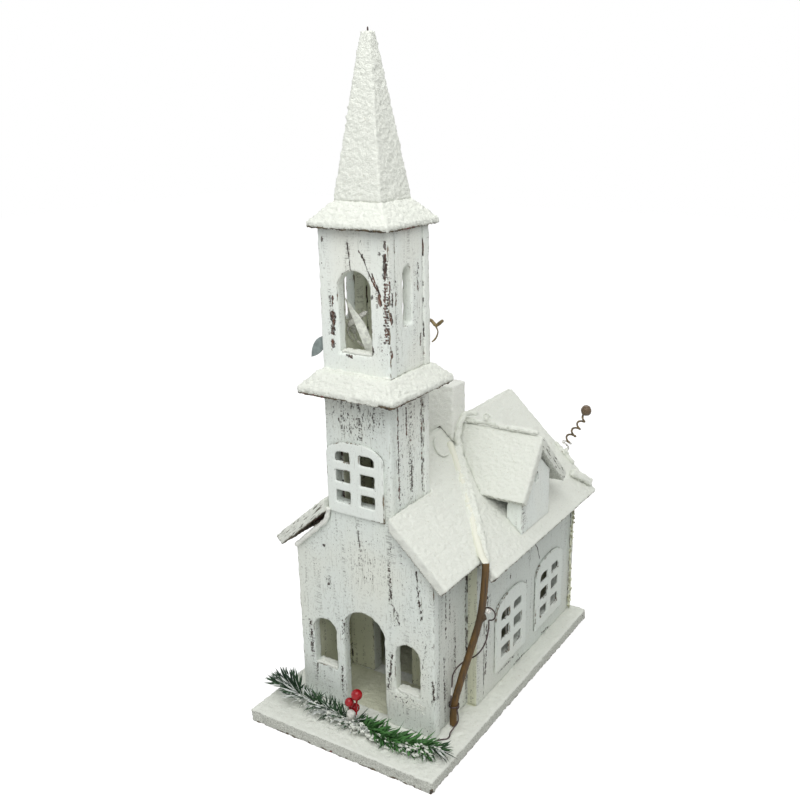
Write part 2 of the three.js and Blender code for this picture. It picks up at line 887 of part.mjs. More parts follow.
// Mini lamps: a socket with a small clear bulb, turned from one point to another, and the short
// wire that comes out of the socket's foot
function lamp(from, towards, tail) {
  const profile = [
    [0, 0],
    [lampFootRadius, 0],
    [lampBulbRadius, lampFootHeight],
    [lampSocketRadius, 2 * lampFootHeight],
    [lampSocketRadius, lampSocketLength],
    [lampBulbRadius, lampSocketLength],
    [lampBulbRadius, lampLength - lampTaperHeight],
    [0.7 * lampBulbRadius, lampLength - lampTipHeight],
    [0, lampLength],
  ];
  const geometry = new THREE.LatheGeometry(profile.map(([r, y]) => new THREE.Vector2(r, y)), 12);
  const [start, aim] = vectors([from, towards]);
  const direction = aim.clone().sub(start).normalize();
  const turn = new THREE.Quaternion().setFromUnitVectors(new THREE.Vector3(0, 1, 0), direction);
  geometry.applyQuaternion(turn);
  geometry.translate(start.x, start.y, start.z);
  const inside = start.addScaledVector(direction, 1).toArray();
  const wire = tube([inside, ...tail], lampWireRadius, 6, 10);
  return geometryOf(solid(geometry).add(solid(wire)));
}

// Height of a point whose distance above the right roof slab's top face is given
const onRightRoof = (x, height) => roofTop(1, x) + height / Math.cos(pitchRight);

// The string's wire: from the case, over the nave floor, past two side windows and the inner
// doorway, up the back of the tower and through the skirt roof's hole into the belfry
const wireHoleX = -8;
const wireHoleY = 17;
const stringLift = 1;
const stringTopZ = 98;
const naveInnerX = naveHalfWidth - boardThickness - stringRadius - stringLift;
const towerWireY = towerRearY - boardThickness - stringRadius - glueLine;

function stringRoute() {
  const floorZ = stringRadius + stringLift;
  const caseWallY = caseMiddleY + caseFrontY + caseEndWall / 2;
  return [
    [0, caseWallY, switchZ],
    [0, caseWallY - 10, switchZ],
    [18, caseWallY - 24, floorZ],
    [34, caseWallY - 33, floorZ],
    [52, casingCentres[0] + 26, floorZ],
    [naveInnerX - 3, casingCentres[0] + 20, floorZ + 8],
    [naveInnerX, casingCentres[0] + 14, 45],
    [naveInnerX, casingCentres[0] + 6, stringTopZ],
    [naveInnerX - 6, casingCentres[0] - 24, stringTopZ + 14],
    [40, naveFrontY + naveFrontThickness + 8, stringTopZ + 10],
    [0, naveFrontY + naveFrontThickness + 5, innerDoorSpringZ + 8],
    [-6, naveFrontY + naveFrontThickness / 2, innerDoorSpringZ + 6],
    [-8, towerWireY, innerDoorSpringZ + 22],
    [wireHoleX, towerWireY, shoulderZ],
    [wireHoleX, towerWireY, ridgeZ],
    [wireHoleX, towerCentreY + wireHoleY, skirtBottomZ - 8],
    [wireHoleX, towerCentreY + wireHoleY, belfryBottomZ + 3],
    [-13, belfryY + 5, belfryBottomZ + 11],
    [-19, belfryY - 2, belfryBottomZ + 20],
  ];
}

// The vine: from the base beside the porch up to the eave's notch, then over the roof
const notchX = porchEaveX + vineRadius + 0.6;
const notchY = roofNotchY - vineRadius - 0.6;
const vineFoot = [facadeHalfWidth + 3.2, notchY - 25, glueLine];
const vineKnot = [notchX - 3.4, notchY - 2, 105];

function vineRoute() {
  return [
    vineFoot,
    [vineFoot[0], vineFoot[1] + 1.5, 20],
    [vineFoot[0] + 4, vineFoot[1] + 8, 47],
    [vineFoot[0] + 9, vineFoot[1] + 14.5, 72],
    vineKnot,
    [notchX - 0.6, notchY - 0.4, 132],
    [notchX, notchY, roofUnder(1, porchEaveX) - 2],
    [notchX + 0.4, notchY, roofTop(1, porchEaveX) + 3],
    [notchX - 6, notchY + 6, onRightRoof(notchX - 6, vineRadius + 1.6)],
    [porchEaveX - 12, notchY + 16, onRightRoof(porchEaveX - 12, vineRadius + 0.5)],
    [64, dormerY - 69, onRightRoof(64, vineRadius + 0.5)],
    [47, dormerY - 51.5, onRightRoof(47, vineRadius + 0.5)],
    [31, dormerY - 37, onRightRoof(31, vineRadius + 0.5)],
    [16, dormerY - 25, onRightRoof(16, vineRadius + 0.5)],
  ];
}

// The dark wire: along the base, nearly two turns round the vine, behind it and into a ring
const bindingZ = 19;
const bindingCentre = [vineFoot[0], vineFoot[1] + 1.5];
const bindingRadius = vineRadius + tendrilRadius + bindingPlay;
const ringCentre = [vineKnot[0] + 6.5, vineKnot[1] + 4.9, vineKnot[2] + 3.8];

function bindingRoute() {
  const points = [];
  const count = bindingTurns * windingSteps;
  for (let i = 0; i <= count; i += 1) {
    const angle = bindingStart + (2 * Math.PI * i) / windingSteps;
    points.push([
      bindingCentre[0] + bindingRadius * Math.cos(angle),
      bindingCentre[1] + bindingRadius * Math.sin(angle),
      bindingZ + (bindingPitch * i) / windingSteps,
    ]);
  }
  return points;
}

function ringRoute() {
  const points = [];
  for (let i = 0; i <= windingSteps; i += 1) {
    const t = i / windingSteps;
    const angle = -Math.PI / 2 + 2 * Math.PI * ringTurn * t;
    const radius = ringRadius - ringShrink * t;
    points.push([
      ringCentre[0] + radius * Math.cos(angle),
      ringCentre[1],
      ringCentre[2] + radius * Math.sin(angle),
    ]);
  }
  return points;
}

function tendrilRoute() {
  const [fx, fy] = vineFoot;
  const lying = tendrilRadius + glueLine;
  return [
    [facadeHalfWidth + 2, facadeY - 1, lying],
    [facadeHalfWidth + 5, facadeY + 2.6, lying],
    [facadeHalfWidth + 8.8, facadeY + 6, lying],
    [fx + 6, fy - 16.6, 1.4],
    [fx + 4.5, fy - 13.2, 2],
    [fx + 5.4, fy - 8.4, 4.6],
    [fx + 7.4, fy - 4.4, 9.4],
    [fx + 6.4, fy - 2.2, 14.4],
    ...bindingRoute(),
    [fx - 0.4, fy - 3.6, 28],
    [fx - 0.6, fy - 1, 43],
    [fx - 0.6, fy + 1.2, 54],
    [fx + 1, fy + 8, 59],
    [fx + 3.6, fy + 17.4, 60.5],
    [fx + 11, fy + 19.8, 65.8],
    [fx + 17, fy + 19, 73.2],
    [fx + 21, fy + 19.9, 81.2],
    [fx + 23, fy + 19.9, 87.5],
    [fx + 24.4, fy + 20, 95],
    [fx + 23.6, fy + 23, 100.4],
    ...ringRoute(),
  ];
}

// The sprung wire: a foot on the roof's rear edge, then curls round a leaning line up to the bead
const springFoot = [springFootX, roofRearY - springInset];
const springAxis = new THREE.Vector3(Math.sin(springTilt), 0, Math.cos(springTilt));
const springAxisStart = new THREE.Vector3(
  springFoot[0] + 1.6,
  springFoot[1],
  onRightRoof(springFoot[0], 0) + springLift,
);

function springRoute() {
  const [x, y] = springFoot;
  const seat = onRightRoof(x, springRadius + glueLine);
  const points = [
    [x - 4, y, onRightRoof(x - 4, springRadius + glueLine)],
    [x, y, seat],
    [x + 4.6, y, seat + 3.4],
    [x + 5.4, y, seat + 8],
    [x + 2.6, y - 1, seat + 10.6],
  ];
  const left = new THREE.Vector3(-springAxis.z, 0, springAxis.x);
  const back = new THREE.Vector3(0, 1, 0);
  const count = springCurls * curlSteps;
  for (let i = 0; i <= count; i += 1) {
    const t = i / count;
    const angle = (2 * Math.PI * i) / curlSteps;
    const radius = springCurlRadius - springTaper * t;
    const spot = springAxisStart.clone()
      .addScaledVector(springAxis, springLength * t)
      .addScaledVector(left, radius * Math.cos(angle))
      .addScaledVector(back, radius * Math.sin(angle));
    points.push(spot.toArray());
  }
  return points;
}

function springWire() {
  const route = springRoute();
  return tube(route, springRadius, curlSides, route.length + 1);
}

function springBead() {
  const end = new THREE.Vector3(...springRoute().at(-1));
  const centre = end.addScaledVector(springAxis, springBeadRadius + springRadius + glueLine);
  return ball(springBeadRadius, centre.x, centre.y, centre.z);
}

function ball(radius, x, y, z) {
  const geometry = new THREE.SphereGeometry(radius, 14, 10);
  geometry.rotateX(Math.PI / 2);
  geometry.translate(x, y, z);
  return geometry;
}

// The pale bead sits against the inside of the ring, at its upper left
function tendrilBead() {
  const reach = ringRadius - ringShrink / 2 - tendrilRadius - glueLine - tendrilBeadRadius;
  const [x, y, z] = ringCentre;
  return ball(tendrilBeadRadius, x - reach * 0.46, y, z + reach * 0.88);
}

// The garland: a core along the front of the facade with needles set round it in a spiral

const garlandLine = new THREE.CatmullRomCurve3(vectors([
  [-garlandHalfLength, facadeY - 17.5, 14],
  [-48, facadeY - 20.5, 9.4],
  [-8, facadeY - 22.5, 7.4],
  [50, facadeY - 25, 4.4],
  [garlandHalfLength, facadeY - 18, 10],
]), false, 'centripetal');
const berryPicks = [
  { name: 'berry_1', radius: 5.2, place: [3.4, -20.4, 35.2], color: 0xc01822 },
  { name: 'berry_2', radius: 4.2, place: [-3.1, -23.4, 26.9], color: 0xc01822 },
  { name: 'berry_3', radius: 4.3, place: [-1.7, -16.9, 17.5], color: 0xc01822 },
  { name: 'snow_berry', radius: 3.8, place: [0.6, -26.4, 17.6], color: 0xf4f4ee },
].map((pick) => {
  const centre = new THREE.Vector3(pick.place[0], facadeY + pick.place[1], pick.place[2]);
  const axis = garlandLine.getPointAt(0.5 + pick.place[0] / (2 * garlandHalfLength));
  const away = centre.clone().sub(axis).normalize();
  const foot = axis.addScaledVector(away, garlandCoreRadius + glueLine);
  return { ...pick, centre, foot };
});

function berry(pick) {
  const [x, y, z] = pick.centre.toArray();
  const stem = new THREE.CylinderGeometry(stemRadius, stemRadius, pick.foot.distanceTo(pick.centre), 6);
  const along = pick.centre.clone().sub(pick.foot).normalize();
  stem.applyQuaternion(new THREE.Quaternion().setFromUnitVectors(new THREE.Vector3(0, 1, 0), along));
  const middle = pick.foot.clone().add(pick.centre).multiplyScalar(0.5);
  stem.translate(middle.x, middle.y, middle.z);
  return geometryOf(solid(ball(pick.radius, x, y, z)).add(solid(stem)));
}

function needleLine(i) {
  const t = -1 + (2 * (i + 0.5)) / needleCount;
  const share = 0.5 + (t * (garlandHalfLength - garlandCoreRadius)) / (2 * garlandHalfLength);
  const angle = THREE.MathUtils.degToRad(needleFirstAngle + needleSpread * ((i * goldenShare) % 1));
  const endLean = needleEndLean * Math.max(0, (Math.abs(t) - needleEndShare) / (1 - needleEndShare));
  const lean = Math.sign(t) * (needleLean * Math.min(1, 0.4 + Math.abs(t)) + endLean);
  const direction = new THREE.Vector3(lean, Math.cos(angle), Math.sin(angle)).normalize();
  const root = garlandLine.getPointAt(share);
  const tip = root.clone().addScaledVector(direction, garlandCoreRadius + needleLength);
  return new THREE.Line3(root, tip);
}

// True where a needle stays clear of every berry and of every berry's stem
function clearOfBerries(line) {
  const spot = new THREE.Vector3();
  const onStem = new THREE.Vector3();
  return berryPicks.every((pick) => {
    const stem = new THREE.Line3(pick.foot, pick.centre);
    for (let i = 0; i <= 10; i += 1) {
      line.at(i / 10, spot);
      stem.closestPointToPoint(spot, true, onStem);
      const tooNearStem = onStem.distanceTo(spot) < stemRadius + 2 * needleRadius + glueLine;
      const tooNearBerry = pick.centre.distanceTo(spot) < pick.radius + 2 * needleRadius + glueLine;
      if (tooNearStem || tooNearBerry) {
        return false;
      }
    }
    return true;
  });
}

function needle(line) {
  const length = line.distance();
  const geometry = new THREE.ConeGeometry(needleRadius, length, 3);
  geometry.translate(0, length / 2, 0);
  const direction = line.delta(new THREE.Vector3()).normalize();
  geometry.applyQuaternion(new THREE.Quaternion().setFromUnitVectors(new THREE.Vector3(0, 1, 0), direction));
  geometry.translate(line.start.x, line.start.y, line.start.z);
  return geometry;
}

function garland() {
  const core = garlandLine.getSpacedPoints(garlandCoreSteps).map((spot) => spot.toArray());
  let body = solid(tube(core, garlandCoreRadius, 8, 2 * garlandCoreSteps));
  for (let i = 0; i < needleCount; i += 1) {
    const line = needleLine(i);
    if (clearOfBerries(line)) {
      body = body.add(solid(needle(line)));
    }
  }
  return geometryOf(body);
}

// Leaves: thin plates with a pointed oval outline

function leafPlate(length, halfWidth, thickness) {
  const shape = new THREE.Shape();
  shape.moveTo(0, 0);
  shape.quadraticCurveTo(length * 0.45, halfWidth * 2, length, 0);
  shape.quadraticCurveTo(length * 0.45, -halfWidth * 2, 0, 0);
  return new THREE.ExtrudeGeometry(shape, { depth: thickness, bevelEnabled: false, curveSegments: 8 });
}

function greyLeaf() {
  const geometry = leafPlate(26, 5, 1);
  geometry.rotateX(Math.PI / 2);
  geometry.rotateY(THREE.MathUtils.degToRad(128));
  geometry.translate(-belfryHalfWidth - glueLine, -25, 28);
  return geometry;
}

function whiteBlade() {
  const shape = polygon([[6.5, 0.3], [-21, 60], [-1.5, 40], [8.6, 20], [8.6, 0.3]]);
  return boardAcross(shape, -15.5, 1);
}

// Assembly

function walls() {
  return [
    part('front_wall', frontWall(), whitePaint()),
    part('porch_wall_left', porchWall(-1), whitePaint()),
    part('porch_wall_right', porchWall(1), whitePaint()),
    part('tower_side_left', towerSide(-1), whitePaint()),
    part('tower_side_right', towerSide(1), whitePaint()),
    part('tower_back_board', towerBack(), whitePaint()),
    part('nave_front_wall', naveFront(), whitePaint()),
    part('nave_wall_left', naveSide(-1), whitePaint()),
    part('nave_wall_right', naveSide(1), whitePaint()),
    part('nave_back_wall', naveBack(), whitePaint()),
    part('tower_casing', towerCasing(), whitePaint()),
  ];
}

function casings() {
  const meshes = [];
  for (const [side, sideName] of [[-1, 'left'], [1, 'right']]) {
    casingCentres.forEach((centre, i) => {
      const name = `nave_casing_${sideName}_${i === 0 ? 'front' : 'rear'}`;
      meshes.push(part(name, naveCasing(side, centre), whitePaint()));
    });
  }
  return meshes;
}

function roofs() {
  return [
    part('roof_slab_left', roofSlab(-1), snow()),
    part('roof_slab_right', roofSlab(1), snow()),
    part('chimney', chimney(), snow()),
    part('dormer_face', dormerFace(), whitePaint()),
    part('dormer_slab_front', dormerSlab(-1, dormerFrontPitch, dormerFrontRun), snow()),
    part('dormer_slab_rear', dormerSlab(1, dormerRearPitch, dormerRearRun), snow()),
  ];
}

function towerTop() {
  const nail = rod(nailRadius, nailLength, 8);
  nail.translate(0, 0, spireHeight - nailHoleDepth + glueLine);
  const spireSkirt = geometryOf(frustum(
    spireSkirtHalfWidth,
    spireSkirtTopHalfWidth,
    spireSkirtHeight,
    spireSkirtRim,
  ));
  return [
    group(0, towerCentreY, skirtBottomZ, part('tower_skirt_roof', skirtRoof(), snow())),
    group(
      0,
      belfryY,
      belfryBottomZ,
      part('belfry_front', belfryCross(-belfryHalfDepth), whitePaint()),
      part('belfry_back', belfryCross(belfryHalfDepth - boardThickness), whitePaint()),
      part('belfry_side_left', belfrySide(-1), whitePaint()),
      part('belfry_side_right', belfrySide(1), whitePaint()),
      part('grey_leaf', greyLeaf(), paint(0x8b9a95, 0.6)),
      part('white_blade', whiteBlade(), paint(0xf2f2ec, 0.7)),
    ),
    group(0, belfryY, belfryBottomZ + belfryHeight, part('spire_skirt', spireSkirt, snow())),
    group(
      0,
      belfryY,
      spireBottomZ,
      part('spire', spire(), snow()),
      part('spire_nail', nail, paint(0x4a4238, 0.5, 0.7)),
    ),
  ];
}

function batteryBox() {
  const cellX = cellRadius + cellPlay / 2;
  const cellY = caseFrontY + caseEndWall + cellRoomLength / 2;
  const cellZ = caseFloor + cellRadius + cellLift;
  const cells = [-1, 1].map((side, i) => {
    const mesh = part(`battery_${i + 1}`, battery(side), paint(0x8d7a45, 0.35, 0.5));
    mesh.position.set(side * cellX, cellY, cellZ);
    return mesh;
  });
  return group(
    0,
    caseMiddleY,
    0,
    part('battery_case', batteryCase(), paint(0xdcdcd6, 0.5)),
    part('battery_cover', batteryCover(), paint(0xd6d6d0, 0.5)),
    part('switch_slider', switchSlider(), paint(0x2c2c2e, 0.5)),
    part('battery_contact_front', contactPlate(-1), paint(0xc9c4b5, 0.3, 0.9)),
    part('battery_contact_rear', contactPlate(1), paint(0xc9c4b5, 0.3, 0.9)),
    ...cells,
  );
}

function belfryLamps() {
  const at = (x, y, z) => [x, belfryY + y, belfryBottomZ + z];
  const leaning = lamp(
    at(-21, -11.5, 35),
    at(1, -11.5, 50.5),
    [at(-22.3, -10.6, 30), at(-22.2, -7, 24), at(-21.7, -2.4, 19.6)],
  );
  const standing = lamp(
    at(-19.6, -4.4, 27),
    at(-22.6, -7.4, 52),
    [at(-19.5, -3.4, 22.8), at(-19.4, -2.6, 20.8)],
  );
  return [
    part('belfry_lamp_1', leaning, clearLamp()),
    part('belfry_lamp_2', standing, clearLamp()),
  ];
}

function naveLamps() {
  const at = (away, y, z) => [naveInnerX - away, casingCentres[0] + y, z];
  const hanging = lamp(at(4.6, 14, 76), at(4.6, 34, 56), [at(3.6, 12, 79.4), at(1, 10.4, 79.6)]);
  const lying = lamp(at(5.2, -4, 91), at(6.4, -24, 84), [at(4.4, 0, 93), at(1.2, 4.5, 97.4)]);
  return [
    part('nave_lamp_1', hanging, clearLamp()),
    part('nave_lamp_2', lying, clearLamp()),
  ];
}

function lights() {
  return [
    part('string_wire', tube(stringRoute(), stringRadius, 8, 78), paint(0xf0efe8, 0.5)),
    ...belfryLamps(),
    ...naveLamps(),
  ];
}

function twigs() {
  const twigZ = (x, radius) => onRightRoof(x, radius + glueLine);
  const ridgeTwigZ = dormerRidgeZ + ridgeTwigRadius + glueLine;
  const ridgeTwig = [
    [17, dormerY, ridgeTwigZ],
    [40, dormerY + 0.6, ridgeTwigZ],
    [65, dormerY - 0.6, ridgeTwigZ],
    [dormerFaceX, dormerY, ridgeTwigZ],
  ];
  const rakeTwig = [[19.5, 22.5], [11, 13], [4.5, 6]].map(([fromEave, fromRear]) => [
    naveEaveX - fromEave,
    roofRearY - fromRear,
    twigZ(naveEaveX - fromEave, rakeTwigRadius),
  ]);
  const loopY = dormerY - 37.7;
  const roofLoop = [[6.4, 0], [10.5, -10], [17.8, -15], [23.4, -12], [24.6, -2]].map(([x, away]) => [
    x,
    loopY + away,
    twigZ(x, roofLoopRadius),
  ]);
  const cornerX = naveHalfWidth + cornerVineRadius + glueLine;
  const cornerVine = [[136, 0], [104, 5], [88, -3], [66, 5], [48, -3], [28, 6], [12, -2], [2.6, 1]].map(
    ([z, sway]) => [cornerX, naveBackY - 14 + sway, z],
  );
  const backTwigY = belfryY + belfryHalfDepth + backTwigRadius + glueLine;
  const backTwigZ = belfryBottomZ + 37;
  const backTwig = tube([
    [20, backTwigY, backTwigZ - 3],
    [33, backTwigY, backTwigZ],
    [38, backTwigY, backTwigZ - 4],
    [45, backTwigY, backTwigZ + 1],
  ], backTwigRadius, 8, 12);
  const backBranch = tube([
    [36, backTwigY, backTwigZ - 2],
    [40, backTwigY, backTwigZ - 9],
    [38, backTwigY, backTwigZ - 15],
    [34, backTwigY, backTwigZ - 19],
  ], backBranchRadius, 8, 10);
  return [
    part('vine_twig', tube(vineRoute(), vineRadius, 9, 60), bark()),
    part('tendril_wire', tube(tendrilRoute(), tendrilRadius, 6, 150), darkWire()),
    part('tendril_bead', tendrilBead(), paint(0xd8d2c0, 0.5)),
    part('ridge_twig', tube(ridgeTwig, ridgeTwigRadius, 8, 14), snowyBark()),
    part('rake_twig', tube(rakeTwig, rakeTwigRadius, 8, 12), snowyBark()),
    part('roof_loop', tube(roofLoop, roofLoopRadius, 8, 18), snowyBark()),
    part('corner_vine', tube(cornerVine, cornerVineRadius, 8, 30), paint(0xb3ac7c, 0.9)),
    part('back_twig', geometryOf(solid(backTwig).add(solid(backBranch))), bark()),
    part('spring_wire', springWire(), darkWire()),
    part('spring_bead', springBead(), paint(0x5a4028, 0.5)),
  ];
}

function berries() {
  return berryPicks.map((pick) => part(pick.name, berry(pick), paint(pick.color, 0.3)));
}

const base = part(
  'base_board',
  block(-baseWidth / 2, baseWidth / 2, -baseDepth / 2, baseDepth / 2, 0, baseThickness),
  snow(),
);

const house = group(
  0,
  0,
  baseThickness,
  ...walls(),
  ...casings(),
  ...roofs(),
  ...towerTop(),
  ...lights(),
  ...twigs(),
  ...berries(),
  part('garland', garland(), paint(0x2f5a34, 0.8)),
  batteryBox(),
);

console.log(
  'least gap between curls of the sprung wire, mm:',
  leastSelfGap(springRoute(), springRadius, springCurlRadius * 3).toFixed(2),
);
console.log(
  'least gap between turns of the binding wire, mm:',
  leastSelfGap(tendrilRoute(), tendrilRadius, bindingRadius * 3).toFixed(2),
);

const church = new THREE.Group();
church.add(base, house);

export default church;
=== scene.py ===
# %% [markdown]
# # A snowy wooden church
#
# The real object is a tabletop church made of sawn boards. They are painted white and rubbed back to
# brown wood, and the base and the roofs have a rough coat of plaster snow. Twigs, dark wire, a pine
# garland and a small light string finish it.
#
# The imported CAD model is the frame: it says where every board is and how large it is. This lesson
# dresses it, piece by piece.

# %% Load the frame
import math
import random

import bpy
import numpy as np
from mathutils import Matrix, Vector, noise


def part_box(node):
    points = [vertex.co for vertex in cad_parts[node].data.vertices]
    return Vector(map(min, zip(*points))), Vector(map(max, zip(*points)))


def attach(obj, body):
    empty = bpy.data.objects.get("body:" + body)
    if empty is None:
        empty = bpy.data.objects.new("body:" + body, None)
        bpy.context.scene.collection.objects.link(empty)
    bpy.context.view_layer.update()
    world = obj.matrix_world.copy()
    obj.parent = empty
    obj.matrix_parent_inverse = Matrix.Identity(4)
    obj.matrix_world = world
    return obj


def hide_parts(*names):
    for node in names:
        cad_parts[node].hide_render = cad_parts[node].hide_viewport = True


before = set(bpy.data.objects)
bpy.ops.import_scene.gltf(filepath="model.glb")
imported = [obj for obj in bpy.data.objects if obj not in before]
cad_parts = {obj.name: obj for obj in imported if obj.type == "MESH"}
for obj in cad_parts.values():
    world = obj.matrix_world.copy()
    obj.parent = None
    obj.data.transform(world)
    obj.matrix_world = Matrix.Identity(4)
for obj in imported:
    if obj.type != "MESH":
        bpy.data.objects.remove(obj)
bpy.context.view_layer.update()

MM = 0.001
HOUSE = "house"

# %% [markdown]
# ## Camera
#
# The camera stands where the photographer stood: to the right of the facade and a little above the
# roofs. Its lens and its small shift were fitted to the straight edges of the house.

# %% Camera
CAMERA_PLACE = Vector((440.12, -710.80, 553.75)) * MM
CAMERA_AZIMUTH = math.radians(31.385)
CAMERA_ELEVATION = math.radians(19.425)
CAMERA_ROLL = math.radians(-0.517)
CAMERA_LENS = 41.85
CAMERA_SHIFT = (-0.045, 0.035)


def camera_turn(azimuth, elevation, roll):
    """The camera's axes as a matrix: to its right, up, and back towards the viewer."""
    back = Vector((
        math.sin(azimuth) * math.cos(elevation),
        -math.cos(azimuth) * math.cos(elevation),
        math.sin(elevation),
    ))
    right = Vector((math.cos(azimuth), math.sin(azimuth), 0))
    up = back.cross(right)
    leaning_right = right * math.cos(roll) + up * math.sin(roll)
    leaning_up = up * math.cos(roll) - right * math.sin(roll)
    return Matrix((leaning_right, leaning_up, back)).transposed()


camera_data = bpy.data.cameras.new("camera")
camera_data.lens = CAMERA_LENS
camera_data.sensor_width = 36
camera_data.shift_x, camera_data.shift_y = CAMERA_SHIFT
camera_data.clip_start = 0.01
camera = bpy.data.objects.new("camera", camera_data)
camera.location = CAMERA_PLACE
camera.rotation_euler = camera_turn(CAMERA_AZIMUTH, CAMERA_ELEVATION, CAMERA_ROLL).to_euler()
bpy.context.scene.collection.objects.link(camera)
bpy.context.scene.camera = camera
bpy.context.scene.view_settings.view_transform = "Standard"
print("camera at", [round(v, 3) for v in camera.location])

# %% [markdown]
# ## Small tools
#
# Blender's operators work on what is selected, so each step starts by selecting one piece and nothing
# else. A modifier is added with its settings and applied at once, as one would by hand.


# %% Selecting and applying
def select_only(piece):
    bpy.ops.object.select_all(action="DESELECT")
    piece.select_set(True)
    bpy.context.view_layer.objects.active = piece


def apply_modifier(piece, kind, **settings):
    select_only(piece)
    modifier = piece.modifiers.new(kind.lower(), kind)
    for key, value in settings.items():
        setattr(modifier, key, value)
    bpy.ops.object.modifier_apply(modifier=modifier.name)


def remeshed(piece, grid):
    apply_modifier(piece, "REMESH", mode="VOXEL", voxel_size=grid, adaptivity=0.0)


def pushed(piece, texture, strength):
    """Pushes a piece's skin in and out, evenly about its place, by a cloudy texture."""
    apply_modifier(
        piece, "DISPLACE", texture=texture, texture_coords="LOCAL", strength=strength, mid_level=0.5,
    )


def cloudy(name, size):
    texture = bpy.data.textures.new(name, "CLOUDS")
    texture.noise_scale = size
    return texture


def new_object(name, data):
    made = bpy.data.objects.new(name, data)
    bpy.context.scene.collection.objects.link(made)
    return made


def copy_of(node, name):
    """A new piece with a merged copy of a CAD node's mesh."""
    piece = new_object(name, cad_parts[node].data.copy())
    piece.data.materials.clear()
    select_only(piece)
    bpy.ops.mesh.customdata_custom_splitnormals_clear()
    bpy.ops.object.mode_set(mode="EDIT")
    bpy.ops.mesh.select_all(action="SELECT")
    bpy.ops.mesh.remove_doubles(threshold=0.01 * MM)
    bpy.ops.object.mode_set(mode="OBJECT")
    return piece


def finished(piece, material, slot, body, *nodes):
    """Gives a piece its finish and its body, and lets it stand for CAD nodes; the slot is not used."""
    piece.data.materials.clear()
    piece.data.materials.append(material)
    select_only(piece)
    bpy.ops.object.shade_smooth()
    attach(piece, body)
    if nodes:
        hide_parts(*nodes)
    print(piece.name, len(piece.data.polygons), "faces")


# %% Reading and writing vertices
def places(piece):
    """The places of a piece's vertices, in metres."""
    values = np.empty(len(piece.data.vertices) * 3, dtype=np.float32)
    piece.data.vertices.foreach_get("co", values)
    return values.reshape(-1, 3).astype(float)


def move_to(piece, points):
    piece.data.vertices.foreach_set("co", points.astype(np.float32).ravel())
    piece.data.update()


def vertex_normals(piece):
    values = np.empty(len(piece.data.vertices) * 3, dtype=np.float32)
    piece.data.vertex_normals.foreach_get("vector", values)
    return values.reshape(-1, 3).astype(float)


def write_field(piece, name, values):
    """Keeps one number per vertex on the mesh, where a material can read it."""
    layer = piece.data.attributes.new(name, "FLOAT", "POINT")
    layer.data.foreach_set("value", values.astype(np.float32))


def write_even_field(piece, name, value):
    write_field(piece, name, np.full(len(piece.data.vertices), float(value)))


def soft_step(values, low, high):
    share = np.clip((values - low) / (high - low), 0, 1)
    return share * share * (3 - 2 * share)


# %% Sharp edges and distances
SHARP_ANGLE = math.radians(30)
FAR = 20 * MM


def ridge_lines(piece, facing_down=False):
    """A piece's sharp edges as pairs of end points, or only those beside a face that looks down."""
    normals = [polygon.normal.copy() for polygon in piece.data.polygons]
    sides = {}
    for polygon in piece.data.polygons:
        for key in polygon.edge_keys:
            sides.setdefault(key, []).append(polygon.index)
    corners = places(piece)
    lines = []
    for (a, b), faces in sides.items():
        if len(faces) != 2 or normals[faces[0]].angle(normals[faces[1]], 0) < SHARP_ANGLE:
            continue
        if not facing_down or min(normals[faces[0]].z, normals[faces[1]].z) < -0.3:
            lines.append((corners[a], corners[b], 0.0))
    return lines


def distance_to_lines(points, lines):
    """The distance from each point to the nearest of some straight stretches and their half widths."""
    nearest = np.full(len(points), FAR)
    for start, end, half_width in lines:
        along = np.subtract(end, start)
        share = np.clip((points - start) @ along / max(along @ along, 1e-12), 0, 1)
        gap = np.linalg.norm(points - start - share[:, None] * along, axis=1)
        nearest = np.minimum(nearest, gap - half_width)
    return nearest


# %% [markdown]
# ## Shader tools
#
# A material here is a small tree of nodes. The tools below keep each finish short: one adds a node and
# joins its sockets, and the others name what a node is for, such as a streaky grain or a soft threshold.


# %% Shader tools
def shader_node(tree, kind, inputs=None, **settings):
    node = tree.nodes.new(kind)
    for key, value in settings.items():
        setattr(node, key, value)
    for key, value in (inputs or {}).items():
        if isinstance(value, bpy.types.NodeSocket):
            tree.links.new(value, node.inputs[key])
        else:
            node.inputs[key].default_value = value
    return node


def new_finish(name, roughness, inputs=None):
    """A material with its tree, its shader and its object coordinates; inputs are the shader's."""
    material = bpy.data.materials.new(name)
    material.use_nodes = True
    tree = material.node_tree
    shader = tree.nodes["Principled BSDF"]
    for key, value in {"Roughness": roughness, **(inputs or {})}.items():
        shader.inputs[key].default_value = value
    place = shader_node(tree, "ShaderNodeTexCoord").outputs["Object"]
    return material, tree, shader, place


def grain(tree, place, per_metre, detail, roughness=0.55):
    """Noise whose features repeat so many times in a metre along X, Y and Z."""
    stretched = shader_node(tree, "ShaderNodeMapping", {"Vector": place, "Scale": per_metre})
    pattern = shader_node(tree, "ShaderNodeTexNoise", {
        "Vector": stretched.outputs["Vector"],
        "Scale": 1.0,
        "Detail": detail,
        "Roughness": roughness,
    })
    return pattern.outputs["Fac"]


def threshold(tree, value, low, high):
    """0 below low, 1 above high and a soft step between them; low may be the larger one."""
    step = shader_node(tree, "ShaderNodeMapRange", {
        "Value": value,
        "From Min": low,
        "From Max": high,
    }, interpolation_type="SMOOTHSTEP", clamp=True)
    return step.outputs["Result"]


# %% Arithmetic, colours and bumps in a shader
def maths(tree, operation, a, b):
    return shader_node(tree, "ShaderNodeMath", {0: a, 1: b}, operation=operation).outputs["Value"]


def times(tree, a, b):
    return maths(tree, "MULTIPLY", a, b)


def plus(tree, a, b):
    return maths(tree, "ADD", a, b)


def minus(tree, a, b):
    return maths(tree, "SUBTRACT", a, b)


